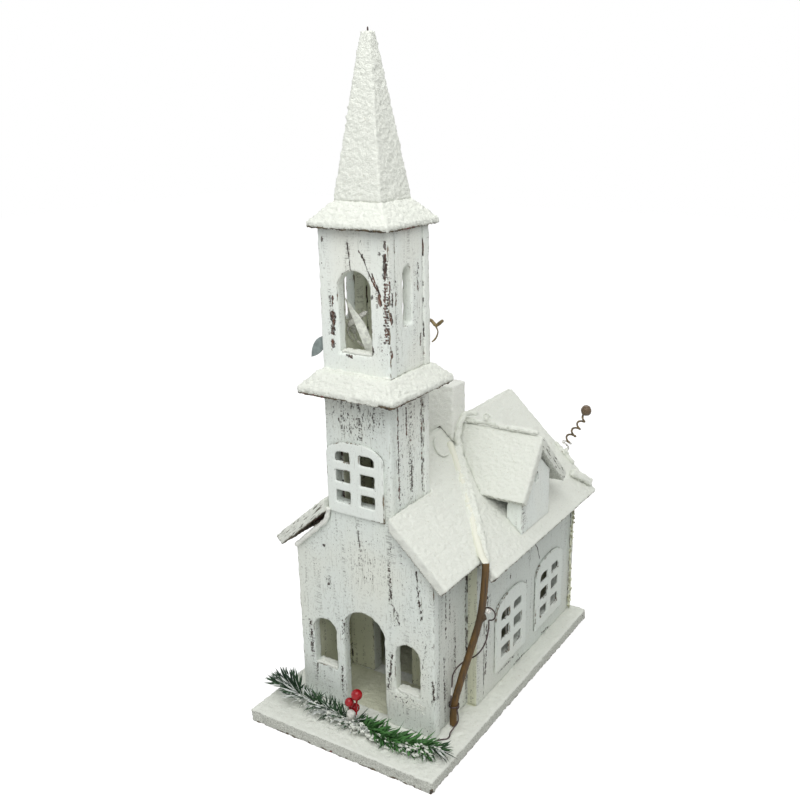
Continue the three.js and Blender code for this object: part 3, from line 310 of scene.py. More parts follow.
def largest(tree, first, *others):
    for other in others:
        first = maths(tree, "MAXIMUM", first, other)
    return first


def swing(tree, noise_value, width):
    """A noise turned into a value that swings this far in all, evenly about zero."""
    return times(tree, minus(tree, noise_value, 0.5), width)


def mixed(tree, factor, below, above):
    """The colour below, covered by the colour above as far as the factor says."""
    mix = shader_node(tree, "ShaderNodeMix", data_type="RGBA")
    for socket, value in ((mix.inputs[0], factor), (mix.inputs[6], below), (mix.inputs[7], above)):
        if isinstance(value, bpy.types.NodeSocket):
            tree.links.new(value, socket)
        elif socket.type == "RGBA":
            socket.default_value = (*value, 1)
        else:
            socket.default_value = value
    return mix.outputs[2]


def field(tree, name):
    return shader_node(tree, "ShaderNodeAttribute", attribute_name=name).outputs["Fac"]


def bumpy(tree, shader, height, distance, strength):
    bump = shader_node(tree, "ShaderNodeBump", {
        "Height": height,
        "Distance": distance,
        "Strength": strength,
    })
    tree.links.new(bump.outputs["Normal"], shader.inputs["Normal"])


# %% [markdown]
# ## Stage and light
#
# A pale floor takes the shadow. To the camera it and the world are white, which is what the photograph's
# plain background is. The light is soft: an even sky, a large lamp in front and above on the right, as
# the bright facade and the softer side show, and a weaker one behind.

# %% Stage
WHITE = (1.0, 1.0, 1.0, 1.0)
FLOOR_HALF = 4.0


def seen_directly(tree):
    """1 for rays from the camera, in mirrors and through clear things, and 0 for light."""
    path = shader_node(tree, "ShaderNodeLightPath").outputs
    return largest(tree, path["Is Camera Ray"], path["Is Glossy Ray"], path["Is Transmission Ray"])


floor_material = bpy.data.materials.new("floor_white")
floor_material.use_nodes = True
floor_tree = floor_material.node_tree
floor_tree.nodes.clear()
matt = shader_node(floor_tree, "ShaderNodeBsdfDiffuse", {"Color": (0.62, 0.62, 0.62, 1)})
shadowed = shader_node(floor_tree, "ShaderNodeBsdfDiffuse", {"Color": (0.40, 0.40, 0.40, 1)})
glow = shader_node(floor_tree, "ShaderNodeEmission", {"Color": WHITE, "Strength": 0.82})
bright = shader_node(floor_tree, "ShaderNodeAddShader", {
    0: shadowed.outputs["BSDF"],
    1: glow.outputs["Emission"],
})
floor_mix = shader_node(floor_tree, "ShaderNodeMixShader", {
    0: seen_directly(floor_tree),
    1: matt.outputs["BSDF"],
    2: bright.outputs["Shader"],
})
shader_node(floor_tree, "ShaderNodeOutputMaterial", {"Surface": floor_mix.outputs["Shader"]})

bpy.ops.mesh.primitive_plane_add(size=2 * FLOOR_HALF, location=(0, 0, -0.2 * MM))
floor = bpy.context.active_object
floor.name = "floor"
floor.data.materials.append(floor_material)
print("floor", round(floor.dimensions.x, 2), "m wide")

# %% Light
SKY_STRENGTH = 0.54

world = bpy.data.worlds.new("studio")
bpy.context.scene.world = world
world.use_nodes = True
world_tree = world.node_tree
world_tree.nodes.clear()
sky = shader_node(world_tree, "ShaderNodeBackground", {"Color": WHITE, "Strength": SKY_STRENGTH})
backdrop = shader_node(world_tree, "ShaderNodeBackground", {"Color": WHITE, "Strength": 1.0})
world_mix = shader_node(world_tree, "ShaderNodeMixShader", {
    0: seen_directly(world_tree),
    1: sky.outputs["Background"],
    2: backdrop.outputs["Background"],
})
shader_node(world_tree, "ShaderNodeOutputWorld", {"Surface": world_mix.outputs["Shader"]})


def soft_lamp(name, power, size, place, aim):
    data = bpy.data.lights.new(name, "AREA")
    data.energy = power
    data.size = size
    lamp = new_object(name, data)
    lamp.location = place
    lamp.rotation_euler = (aim - place).to_track_quat("-Z", "Y").to_euler()


soft_lamp("key", 13.0, 1.0, Vector((0.40, -0.69, 1.33)), Vector((0, 0, 0.25)))
soft_lamp("fill", 2.2, 0.7, Vector((-0.25, 0.95, 1.0)), Vector((0, 0, 0.3)))
print("lit by a sky, a soft lamp in front and a weaker one behind")

# %% [markdown]
# ## Weathered white paint
#
# Brush-thin white paint over brown boards. It is gritty, with an upright grain, and it has broken away
# in small dark marks that gather in patches. Edges are rubbed down to the wood here and there, and the
# joints between boards are dark: bare wood, with the shade of the crevice painted in. Fields on each
# mesh steer it: the distance to the nearest sharp edge, to the nearest joint and to the nearest scar,
# how worn the place is, and how far it lies in a room, where a darker cream is painted shade.

# %% Weathered white paint
DARK_WOOD = (0.036, 0.026, 0.021)
BROWN_WOOD = (0.135, 0.055, 0.032)
GREY_WOOD = (0.080, 0.058, 0.046)
OCHRE_WOOD = (0.36, 0.28, 0.16)
# A darker cream for faces inside the rooms: painted shade.
ROOM_SHADE_PAINT = (0.70, 0.715, 0.54)
GREY_PAINT = (0.42, 0.43, 0.37)


def weathered_paint(
    name, paint, old_paint, wear=1.0, mottling=0.42, wood_below=GREY_WOOD, broken=0.9,
):
    material, tree, shader, place = new_finish(name, 0.78)
    wobble = swing(tree, grain(tree, place, (520, 520, 170), 4, 0.65), 4.5 * MM)
    half_wobble = times(tree, wobble, 0.5)
    nibble = swing(tree, grain(tree, place, (420, 420, 330), 3, 0.6), 5.0 * MM)

    # Two tones of paint, a grey mottle, and fine grey hairs along the grain.
    tone = threshold(tree, grain(tree, place, (16, 16, 10), 2), 0.35, 0.7)
    colour = mixed(tree, tone, paint, old_paint)
    patches = threshold(tree, grain(tree, place, (70, 70, 15), 3), 0.50, 0.68)
    worn = largest(tree, times(tree, patches, 0.62 * wear), field(tree, "worn"))
    mottle = threshold(tree, grain(tree, place, (560, 560, 430), 3, 0.65), 0.53, 0.70)
    colour = mixed(tree, times(tree, mottle, mottling), colour, GREY_PAINT)
    hairs = grain(tree, place, (1300, 1300, 55), 3, 0.6)
    hair_level = minus(tree, 0.66, times(tree, worn, 0.10))
    hair = threshold(tree, minus(tree, hairs, hair_level), 0.0, 0.08)
    colour = mixed(tree, times(tree, hair, 0.75), colour, GREY_PAINT)

    # Small marks where the paint has broken away: specks, pits and upright ladders of dashes.
    specks = grain(tree, place, (760, 760, 230), 3, 0.62)
    speck_level = minus(tree, 0.745, times(tree, worn, 0.155))
    speck = threshold(tree, minus(tree, specks, speck_level), 0.0, 0.035)
    pits = grain(tree, place, (620, 620, 500), 3, 0.62)
    pit_level = minus(tree, 0.715, times(tree, worn, 0.075))
    pit = threshold(tree, minus(tree, pits, pit_level), 0.0, 0.03)
    columns = threshold(tree, grain(tree, place, (230, 230, 12), 2), 0.55, 0.62)
    dashes = threshold(tree, grain(tree, place, (150, 150, 1100), 2), 0.53, 0.60)
    ladder = times(tree, times(tree, columns, dashes), worn)

    # Rubbed edges, the drawn scars and scratches, and the dark joints with their crevice shade painted
    # in.
    edge = plus(tree, field(tree, "edge"), wobble)
    rubbed_here = threshold(tree, grain(tree, place, (60, 60, 34), 3), 0.50, 0.60)
    rubbed = times(tree, threshold(tree, edge, 1.0 * MM, 0.3 * MM), rubbed_here)
    scar = plus(tree, plus(tree, field(tree, "scar"), half_wobble), nibble)
    left_whole = threshold(tree, grain(tree, place, (380, 380, 330), 2), 0.52, 0.45)
    scar_here = minus(tree, 1.0, times(tree, left_whole, broken))
    scarred = times(tree, threshold(tree, scar, 0.5 * MM, 0.1 * MM), scar_here)
    scratch = plus(tree, field(tree, "scratch"), times(tree, wobble, 0.4))
    scratched = threshold(tree, scratch, 0.40 * MM, 0.10 * MM)
    joint = plus(tree, field(tree, "joint"), half_wobble)
    joined_here = threshold(tree, grain(tree, place, (90, 90, 80), 3), 0.49, 0.58)
    seam_and_crevice_shade = times(tree, threshold(tree, joint, 0.9 * MM, 0.4 * MM), joined_here)

    bare = largest(tree, speck, rubbed, scarred, scratched, pit, seam_and_crevice_shade, ladder)
    wood_tone = threshold(tree, grain(tree, place, (340, 340, 70), 3), 0.44, 0.66)
    wood = mixed(tree, wood_tone, DARK_WOOD, wood_below)
    wood = mixed(tree, times(tree, rubbed, 0.45), wood, OCHRE_WOOD)
    # Painted shade: faces in the rooms and in the recess by the porch turn a darker cream.
    colour = mixed(tree, times(tree, field(tree, "room_shade"), 0.9), colour, ROOM_SHADE_PAINT)
    tree.links.new(mixed(tree, bare, colour, wood), shader.inputs["Base Color"])

    grit = grain(tree, place, (950, 950, 620), 3, 0.7)
    combed = grain(tree, place, (620, 620, 34), 3, 0.6)
    relief = plus(tree, times(tree, grit, 0.9), times(tree, combed, 0.8))
    bumpy(tree, shader, minus(tree, relief, bare), 0.75 * MM, 0.85)
    return material


# One white paint in lit and shaded copies. The tower's, the belfry's and the dormer's are lighter,
# painted light for the brighter light high up, and less marked; the nave's and the porch's are darker,
# painted shade under the eaves. The tower's casing is lighter than the nave's in the same way.
outer_paint = weathered_paint("weathered_white", (0.78, 0.835, 0.785), (0.80, 0.83, 0.75))
tower_paint_with_light = weathered_paint(
    "tower_white_lit", (0.85, 0.90, 0.85), (0.86, 0.885, 0.81), mottling=0.25, wood_below=BROWN_WOOD,
    broken=0.15,
)
nave_paint_with_shade = weathered_paint("nave_white_shaded", (0.69, 0.74, 0.69), (0.71, 0.735, 0.67))
casing_paint_with_light = weathered_paint("casing_white_lit", (0.83, 0.88, 0.83), (0.85, 0.87, 0.81), 0.25, 0.2)
nave_casing_paint_with_shade = weathered_paint(
    "nave_casing_white_shaded", (0.76, 0.815, 0.76), (0.78, 0.81, 0.74), 0.25, 0.2,
)
paints = (outer_paint, tower_paint_with_light, nave_paint_with_shade, casing_paint_with_light, nave_casing_paint_with_shade)
print("paints:", [paint.name for paint in paints])

# %% [markdown]
# ## Plaster snow
#
# Snow here is a white plaster with fine grit. Where it is thick it is almost pure white, on upright
# edges it is thin, grey and gritty, and underneath the raw wood shows. The field `coat` says which:
# 1 is thick snow, 0.5 is the thin gritty coat, and 0 is raw wood.


# %% Plaster snow
# Two of these greys are painted shade in the low places of the grit.
HOLLOW_SHADE_GREY = (0.68, 0.69, 0.60)
BEIGE_SNOW = (0.50, 0.45, 0.33)
GRIT_SHADE_GREY = (0.44, 0.45, 0.39)
RAW_WOOD = (0.17, 0.135, 0.085)
RED_WOOD = (0.24, 0.060, 0.050)
RING_BROWN = (0.15, 0.145, 0.105)


def plaster_snow(name, thick, thin):
    material, tree, shader, place = new_finish(name, 0.92)
    grit = grain(tree, place, (880, 880, 880), 3, 0.72)
    lumps = grain(tree, place, (240, 240, 240), 3, 0.6)
    coat = plus(tree, field(tree, "coat"), swing(tree, lumps, 0.9))

    # Painted shade: where the grit, which also makes the bump, is low, the thick snow turns grey, and the
    # thin coat darker.
    hollow_shade = threshold(tree, grit, 0.46, 0.28)
    white = mixed(tree, times(tree, hollow_shade, 0.55), thick, HOLLOW_SHADE_GREY)
    beige = threshold(tree, grain(tree, place, (430, 430, 430), 2), 0.66, 0.74)
    white = mixed(tree, times(tree, beige, 0.35), white, BEIGE_SNOW)
    grey = mixed(tree, threshold(tree, grit, 0.60, 0.34), thin, GRIT_SHADE_GREY)
    dots = threshold(tree, grain(tree, place, (460, 460, 460), 2), 0.68, 0.73)
    grey = mixed(tree, dots, grey, DARK_WOOD)
    colour = mixed(tree, threshold(tree, coat, 0.55, 0.80), grey, white)
    reddish = threshold(tree, grain(tree, place, (70, 70, 70), 2), 0.60, 0.66)
    raw = mixed(tree, reddish, RAW_WOOD, RED_WOOD)
    raw = mixed(tree, threshold(tree, lumps, 0.40, 0.65), raw, DARK_WOOD)
    colour = mixed(tree, threshold(tree, coat, 0.10, 0.26), raw, colour)
    length = shader_node(tree, "ShaderNodeCombineXYZ", {
        "X": field(tree, "along"),
        "Y": field(tree, "across"),
    })
    rings = threshold(tree, grain(tree, length.outputs["Vector"], (70, 620, 1), 3, 0.6), 0.55, 0.63)
    colour = mixed(tree, times(tree, rings, field(tree, "sawn")), colour, RING_BROWN)
    # Painted shade: floors inside the rooms are bare of snow and take the same darker cream.
    colour = mixed(tree, times(tree, field(tree, "room_shade"), 0.9), colour, ROOM_SHADE_PAINT)
    tree.links.new(colour, shader.inputs["Base Color"])
    bumpy(tree, shader, plus(tree, grit, times(tree, lumps, 0.5)), 1.25 * MM, 1.0)
    return material


roof_snow = plaster_snow("roof_snow", (0.865, 0.89, 0.815), (0.76, 0.78, 0.71))
# Painted light: a whiter copy of the snow, for the chimney in the tower's shade and the shoulder's lip.
brightened_snow = plaster_snow("brightened_snow", (0.95, 0.965, 0.90), (0.93, 0.95, 0.88))
print("snow:", roof_snow.name, brightened_snow.name)

# %% [markdown]
# ## Boards
#
# Each wall is a copy of its CAD board. A voxel remesh gives it an even skin of small faces, so its
# edges can be worn down here and there by moving vertices, and its fields can be stored finely.
# The few large scars of the paint are drawn as short lines on a board's face.

# %% Scars on the facade
# Each scar is a half width and its corners, in millimetres: across the face and up. Scars up to
# THIN_SCAR wide are clean scratches, and the wider ones are ragged.
THIN_SCAR = 0.36 * MM
FACADE_SCARS = [
    (0.3, [(-5.0, 204.5), (-3.1, 201.0), (-2.7, 193.4), (-0.8, 181.5)]),
    (0.6, [(56.8, 176.9), (57.6, 160.2), (59.4, 146.9), (61.9, 131.0)]),
    (0.5, [(28.6, 173.0), (29.7, 158.5), (30.3, 143.7)]),
    (0.6, [(31.2, 137.9), (36.2, 128.2), (38.1, 119.5)]),
    (0.8, [(-63.2, 94.9), (-61.8, 82.2), (-62.0, 62.3)]),
    (0.9, [(-24.1, 105.3), (-23.4, 95.9)]),
    (0.6, [(-27.2, 57.8), (-28.2, 39.6), (-27.3, 20.7)]),
    (0.5, [(29.5, 86.7), (27.0, 68.8), (23.1, 49.0)]),
    (0.7, [(71.4, 72.8), (73.0, 55.2)]),
    (0.3, [(-56.6, 50.5), (-57.6, 36.7)]),
    (0.9, [(-39.3, 144.9), (-38.3, 139.0)]),
    (0.8, [(-41.6, 178.5), (-41.4, 177.0)]),
]
# Painted shade: dark lines up the facade's rear edge, where it stands against the porch wall.
FACADE_END_SHADE_LINES = [
    (0.6, [(-107.5, 168), (-107.5, 118)]),
    (0.6, [(-107.5, 108), (-107.5, 16)]),
]
print("scars on the facade:", len(FACADE_SCARS + FACADE_END_SHADE_LINES))

# %% Scars on the belfry
# A ladder of short dashes runs up its right edge.
BELFRY_FRONT_SCARS = [
    (0.3, [(-4.6, 448.8), (-3.4, 440.0), (-2.4, 427.3)]),
    (0.3, [(6.2, 443.5), (10.2, 438.3), (14.1, 428.9), (20.4, 417.0), (25.3, 410.5)]),
    (0.7, [(9.6, 440.0), (11.0, 436.0)]),
    (0.35, [(18.2, 426.6), (20.6, 421.0), (23.7, 414.5), (26.1, 409.0)]),
    (1.3, [(24.2, 409.5), (25.6, 402.6)]),
    (2.7, [(-21.6, 390.5), (-21.4, 386.0)]),
    (1.6, [(-21.8, 385.0), (-22.4, 374.0)]),
    (1.9, [(-22.8, 367.0), (-22.6, 363.5)]),
    (0.6, [(-21.4, 404.5), (-22.2, 397.0)]),
    (0.9, [(-8.9, 357.5), (-4.0, 356.5)]),
    (1.5, [(15.9, 366.9), (16.4, 362.5)]),
    (1.0, [(31.2, 451.3), (31.1, 447.0)]),
    (1.6, [(30.8, 441.0), (30.4, 424.0)]),
    (0.9, [(25.6, 442.9), (25.6, 442.0)]),
    (0.5, [(30.3, 417.0), (30.5, 409.0)]),
    (0.5, [(29.8, 384.0), (29.6, 379.0)]),
    (0.7, [(17.5, 408.6), (17.5, 406.8)]),
    (0.5, [(-29.5, 452.0), (-29.3, 449.0)]),
]
LADDER_FOOT = 372.5
LADDER_STEP = 2.3
for rung in range(21):
    z = LADDER_FOOT + LADDER_STEP * rung
    BELFRY_FRONT_SCARS.append((0.4, [(28.9 + 0.5 * (rung % 3), z), (32.8, z)]))
BELFRY_END_SCARS = [
    (1.5, [(-112.0, 395.0), (-111.0, 389.0)]),
    (1.2, [(-112.0, 365.3), (-111.4, 360.6)]),
    (0.6, [(-112.6, 421.0), (-112.6, 404.0)]),
    (0.55, [(-109.4, 411.0), (-109.0, 401.0)]),
]
BELFRY_RIGHT_SCARS = [
    (0.55, [(-103.3, 410.0), (-103.8, 402.0)]),
    (0.55, [(-104.0, 396.0), (-103.8, 386.3)]),
    (0.5, [(-70.3, 430.5), (-71.2, 408.0)]),
    (0.5, [(-67.7, 371.0), (-68.2, 360.0)]),
    (0.9, [(-54.0, 446.0), (-53.8, 436.0)]),
    (0.9, [(-53.8, 424.0), (-53.8, 398.0)]),
]
print("scars on the belfry:", len(BELFRY_FRONT_SCARS + BELFRY_END_SCARS + BELFRY_RIGHT_SCARS))

# %% Scars on the right side
TOWER_RIGHT_SCARS = [
    (0.55, [(-67.0, 322.0), (-67.2, 229.0)]),
    (0.45, [(-103.4, 315.0), (-103.6, 233.0)]),
    (0.45, [(-90.6, 312.0), (-90.2, 285.0)]),
    (0.45, [(-83.6, 262.0), (-83.4, 236.0)]),
]
PORCH_RIGHT_SCARS = [
    (0.45, [(-92.4, 152.0), (-92.6, 104.0)]),
    (0.6, [(-96.2, 86.0), (-95.8, 42.0)]),
    (0.45, [(-85.4, 150.0), (-85.4, 118.0)]),
    (0.45, [(-76.5, 96.0), (-76.3, 60.0)]),
    # Painted shadow: the dark line where the porch wall meets the nave's front wall.
    (0.6, [(-57.4, 156.0), (-56.4, 20.0)]),
]
NAVE_RIGHT_SCARS = [
    (1.1, [(-35.6, 122.0), (-35.0, 112.0)]),
    (0.9, [(-37.2, 92.0), (-36.4, 62.0), (-38.2, 40.0)]),
    (0.9, [(11.0, 123.0), (11.6, 117.5)]),
    (0.3, [(66.0, 131.5), (72.0, 124.0), (77.5, 110.0)]),
    (0.45, [(48.0, 100.0), (47.8, 84.0)]),
    (0.45, [(-10.0, 25.0), (14.0, 24.6)]),
    (0.8, [(19.0, 25.4), (22.0, 25.2)]),
    (0.5, [(24.0, 15.2), (48.0, 14.6)]),
    (0.9, [(88.2, 16.6), (104.0, 15.4)]),
    (0.9, [(-14.0, 136.5), (-8.0, 136.2)]),
    (0.6, [(0.0, 136.8), (5.0, 136.8)]),
    (1.2, [(69.0, 137.2), (80.0, 136.8)]),
    (0.7, [(96.0, 137.4), (112.0, 137.2)]),
]
print("scars on the right side:", len(TOWER_RIGHT_SCARS + PORCH_RIGHT_SCARS + NAVE_RIGHT_SCARS))


def on_face(axis, plane, scars):
    """Scars drawn on an upright face at a place along X or Y, as stretches in metres."""
    stretches = []
    for half_width, line in scars:
        corners = [(plane, across, z) if axis == "X" else (across, plane, z) for across, z in line]
        corners = [np.array(corner) * MM for corner in corners]
        stretches += [(a, b, half_width * MM) for a, b in zip(corners, corners[1:])]
    return stretches


# %% Rooms
# Faces inside these boxes get a darker cream, painted shade for the dim insides.
ROOM_MARGIN = 0.4 * MM


def room_between(left, right, front, rear, low, high):
    """The inside of a room, from the nodes that bound it and the heights of its floor and top."""
    return (
        np.array((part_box(left)[1].x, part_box(front)[1].y, low)),
        np.array((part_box(right)[0].x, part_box(rear)[0].y, high)),
    )


tower_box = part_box("tower_side_left")
recess_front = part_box("nave_front_wall")[0].y
porch_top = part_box("porch_wall_right")[1].z
rooms = [
    room_between("porch_wall_left", "porch_wall_right", "front_wall", "nave_front_wall", 0, porch_top),
    room_between(
        "tower_side_left", "tower_side_right", "front_wall", "tower_back_board",
        tower_box[0].z, tower_box[1].z,
    ),
    room_between(
        "nave_wall_left", "nave_wall_right", "nave_front_wall", "nave_back_wall",
        0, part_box("nave_wall_right")[1].z,
    ),
    # No room: the narrow strip of the nave's front wall beside the porch, with its shade painted in.
    (
        np.array((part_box("porch_wall_right")[1].x + 2 * ROOM_MARGIN, recess_front - ROOM_MARGIN, 0)),
        np.array((
            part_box("nave_front_wall")[1].x - 3 * ROOM_MARGIN, recess_front + ROOM_MARGIN, porch_top,
        )),
    ),
]
belfry_room = room_between(
    "belfry_side_left", "belfry_side_right", "belfry_front", "belfry_back",
    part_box("belfry_front")[0].z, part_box("belfry_front")[1].z,
)
# The bright belfry gets only part of the painted shade.
BELFRY_SHADE_SHARE = 0.7
print("rooms", [[round(v, 3) for v in high - low] for low, high in rooms + [belfry_room]])


def within(points, room):
    low, high = room
    return np.all((points > low - ROOM_MARGIN) & (points < high + ROOM_MARGIN), axis=1)


def room_shade_share(points):
    """The share of painted shade: 1 on a room's walls or inside it, and less in the bright belfry."""
    inside = BELFRY_SHADE_SHARE * within(points, belfry_room)
    for room in rooms:
        inside = np.maximum(inside, within(points, room))
    return inside


# %% Joints between boards
# Where a board meets another, dark lines are drawn: bare wood, and the crevice's shade painted in.
JOINED = (
    "base_board", "front_wall", "porch_wall_left", "porch_wall_right", "tower_side_left",
    "tower_side_right", "nave_front_wall", "nave_wall_left", "nave_wall_right", "nave_back_wall",
    "tower_skirt_roof", "belfry_front", "belfry_back", "belfry_side_left", "belfry_side_right",
)


def distance_to_boards(points, but):
    """The distance from each point to the nearest board that isn't the named one."""
    nearest = np.full(len(points), FAR)
    for node in JOINED:
        if node == but:
            continue
        low, high = (np.array(corner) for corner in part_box(node))
        outside = np.maximum(np.maximum(low - points, points - high), 0)
        nearest = np.minimum(nearest, np.linalg.norm(outside, axis=1))
    return nearest


# %% Worn places
# Each is a soft oval in millimetres: its middle across the face and up, its half width, its half height
# and how worn it is.
FACADE_WORN = [
    (-62, 74, 4, 26, 1.0),
    (-25, 92, 3, 15, 0.9),
    (-27, 40, 3.5, 24, 1.0),
    (-38, 142, 4, 12, 0.8),
    (-22, 156, 3, 10, 0.6),
    (2, 168, 16, 34, 0.75),
    (29, 160, 4, 26, 0.95),
    (34, 126, 6, 14, 0.95),
    (59, 150, 4, 30, 0.9),
    (63, 92, 4, 40, 0.8),
    (26, 68, 4, 26, 1.0),
    (72, 60, 2.5, 22, 1.0),
    (-56, 42, 4, 16, 0.7),
    (46, 34, 26, 8, 0.6),
    (0, 306, 30, 27, 1.0),
    (0, 190, 50, 50, 0.38),
    (44, 43, 21, 6, 1.0),
]
BELFRY_FRONT_WORN = [
    (31.5, 405, 3, 52, 1.0),
    (22, 412, 4, 16, 0.8),
    (-24, 385, 4, 30, 0.9),
    (-30, 430, 4, 34, 0.5),
    (-5, 438, 4, 16, 0.6),
    (24, 365, 5, 16, 0.7),
]
BELFRY_RIGHT_WORN = [
    (-110, 400, 3.5, 56, 0.9),
    (-103, 408, 3, 18, 0.9),
    (-96, 362, 12, 16, 0.6),
    (-72, 400, 5, 46, 0.7),
    (-58, 415, 3, 40, 1.0),
]
PORCH_RIGHT_WORN = [
    (-95, 60, 3.5, 46, 1.0),
    (-80, 90, 6, 50, 0.8),
]
TOWER_RIGHT_WORN = [
    (-84, 270, 8, 50, 0.9),
    (-98, 260, 3, 60, 0.8),
]
NAVE_RIGHT_WORN = [
    (55, 128, 6, 18, 0.9),
    (58, 60, 4, 46, 0.5),
    (-30, 95, 5, 40, 0.7),
    (140, 100, 8, 60, 0.5),
]


def worn_by(zones, across, z, everywhere):
    """How worn each point is, from soft ovals given in millimetres on a board's face."""
    worn = np.full(len(z), float(everywhere))
    for centre, height, half_width, half_height, level in zones:
        reach = np.hypot((across / MM - centre) / half_width, (z / MM - height) / half_height)
        worn = np.maximum(worn, level * soft_step(-reach, -1.25, -0.55))
    return worn


# %% Wearing a board
BOARD_GRID = 1.2 * MM
WAVE_TEXTURE = cloudy("board_waves", 22 * MM)
EDGE_REACH = 2.2 * MM


def wear_edges(piece, edge, depth, per_metre):
    """Rubs vertices near sharp edges inwards by an uneven amount."""
    points = places(piece)
    normals = vertex_normals(piece)
    for i in np.flatnonzero(edge < EDGE_REACH):
        roughness = noise.noise(Vector(points[i]) * per_metre) + 0.25
        closeness = 1 - edge[i] / EDGE_REACH
        points[i] -= normals[i] * max(0.0, roughness) * closeness * depth
    move_to(piece, points)


def board(node, material, grid=BOARD_GRID, scars=(), wear=1.0 * MM, zones=(), worn=0.0):
    """Stands for a CAD board: remeshed, slightly wavy and worn, with the fields that its paint reads."""
    piece = copy_of(node, node + "_painted")
    lines = ridge_lines(piece)
    remeshed(piece, grid)
    points = places(piece)
    edge = distance_to_lines(points, lines)
    write_field(piece, "edge", edge)
    write_field(piece, "joint", distance_to_boards(points, node))
    write_field(piece, "room_shade", room_shade_share(points))
    ragged = [scar for scar in scars if scar[2] > THIN_SCAR]
    clean = [scar for scar in scars if scar[2] <= THIN_SCAR]
    write_field(piece, "scar", distance_to_lines(points, ragged))
    write_field(piece, "scratch", distance_to_lines(points, clean))
    size = np.ptp(points, axis=0)
    across = points[:, 0] if size[0] > size[1] else points[:, 1]
    write_field(piece, "worn", worn_by(zones, across, points[:, 2], worn))
    pushed(piece, WAVE_TEXTURE, 0.35 * MM)
    wear_edges(piece, edge, wear, 160)
    finished(piece, material, "white_boards", HOUSE, node)


# %% Walls
facade_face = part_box("front_wall")[0].y / MM
belfry_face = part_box("belfry_front")[0].y / MM
facade_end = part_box("front_wall")[1].x / MM
belfry_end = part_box("belfry_front")[1].x / MM

board(
    "front_wall",
    outer_paint,
    scars=on_face("Y", facade_face, FACADE_SCARS) + on_face("X", facade_end, FACADE_END_SHADE_LINES),
    zones=FACADE_WORN,
    worn=0.3,
)
for node, scars, zones, worn in (
    ("nave_wall_right", NAVE_RIGHT_SCARS, NAVE_RIGHT_WORN, 0.1),
    ("porch_wall_right", PORCH_RIGHT_SCARS, PORCH_RIGHT_WORN, 0.5),
    ("tower_side_right", TOWER_RIGHT_SCARS, TOWER_RIGHT_WORN, 0.55),
    ("belfry_side_right", BELFRY_RIGHT_SCARS, BELFRY_RIGHT_WORN, 0.3),
):
    right_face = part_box(node)[1].x / MM
    paint = nave_paint_with_shade if node in ("nave_wall_right", "porch_wall_right") else tower_paint_with_light
    board(node, paint, scars=on_face("X", right_face, scars), zones=zones, worn=worn)
for wall, paint, worn, grid in (
    ("porch_wall_left", nave_paint_with_shade, 0.5, BOARD_GRID),
    ("tower_side_left", tower_paint_with_light, 0.55, BOARD_GRID),
    ("tower_back_board", tower_paint_with_light, 0.5, BOARD_GRID),
    ("nave_front_wall", nave_paint_with_shade, 0.5, BOARD_GRID),
    ("nave_wall_left", nave_paint_with_shade, 0.25, BOARD_GRID),
    ("nave_back_wall", nave_paint_with_shade, 0.3, BOARD_GRID),
    ("dormer_face", tower_paint_with_light, 0.1, 0.8 * MM),
    ("belfry_back", tower_paint_with_light, 0.35, BOARD_GRID),
    ("belfry_side_left", tower_paint_with_light, 0.35, BOARD_GRID),
):
    board(wall, paint, grid, worn=worn)
board(
    "belfry_front",
    tower_paint_with_light,
    0.75 * MM,
    scars=on_face("Y", belfry_face, BELFRY_FRONT_SCARS) + on_face("X", belfry_end, BELFRY_END_SCARS),
    zones=BELFRY_FRONT_WORN,
    worn=0.12,
)

# %% Casings
CASING_GRID = 0.8 * MM
board("tower_casing", casing_paint_with_light, CASING_GRID, wear=0.4 * MM)
for casing in (
    "nave_casing_left_front",
    "nave_casing_left_rear",
    "nave_casing_right_front",
    "nave_casing_right_rear",
):
    board(casing, nave_casing_paint_with_shade, CASING_GRID, wear=0.4 * MM)

# %% [markdown]
# ## Snow-covered pieces
#
# The base, the roof slabs, the dormer, the chimney, the skirts and the spire are wood under rough
# plaster. They are remeshed too, and then two cloudy textures push their skin in and out: one makes
# lumps a few millimetres wide, and a finer one makes grit.

# %% Putting snow on a piece
SNOW_GRID = 1.3 * MM
LUMP_TEXTURE = cloudy("snow_lumps", 6 * MM)
GRIT_TEXTURE = cloudy("snow_grit", 1.9 * MM)


def roughen(piece, thickness, lumps, grit):
    """Pushes a remeshed skin in and out by two cloudy textures, and out by the snow on it."""
    pushed(piece, LUMP_TEXTURE, lumps)
    pushed(piece, GRIT_TEXTURE, grit)
    move_to(piece, places(piece) + vertex_normals(piece) * thickness)


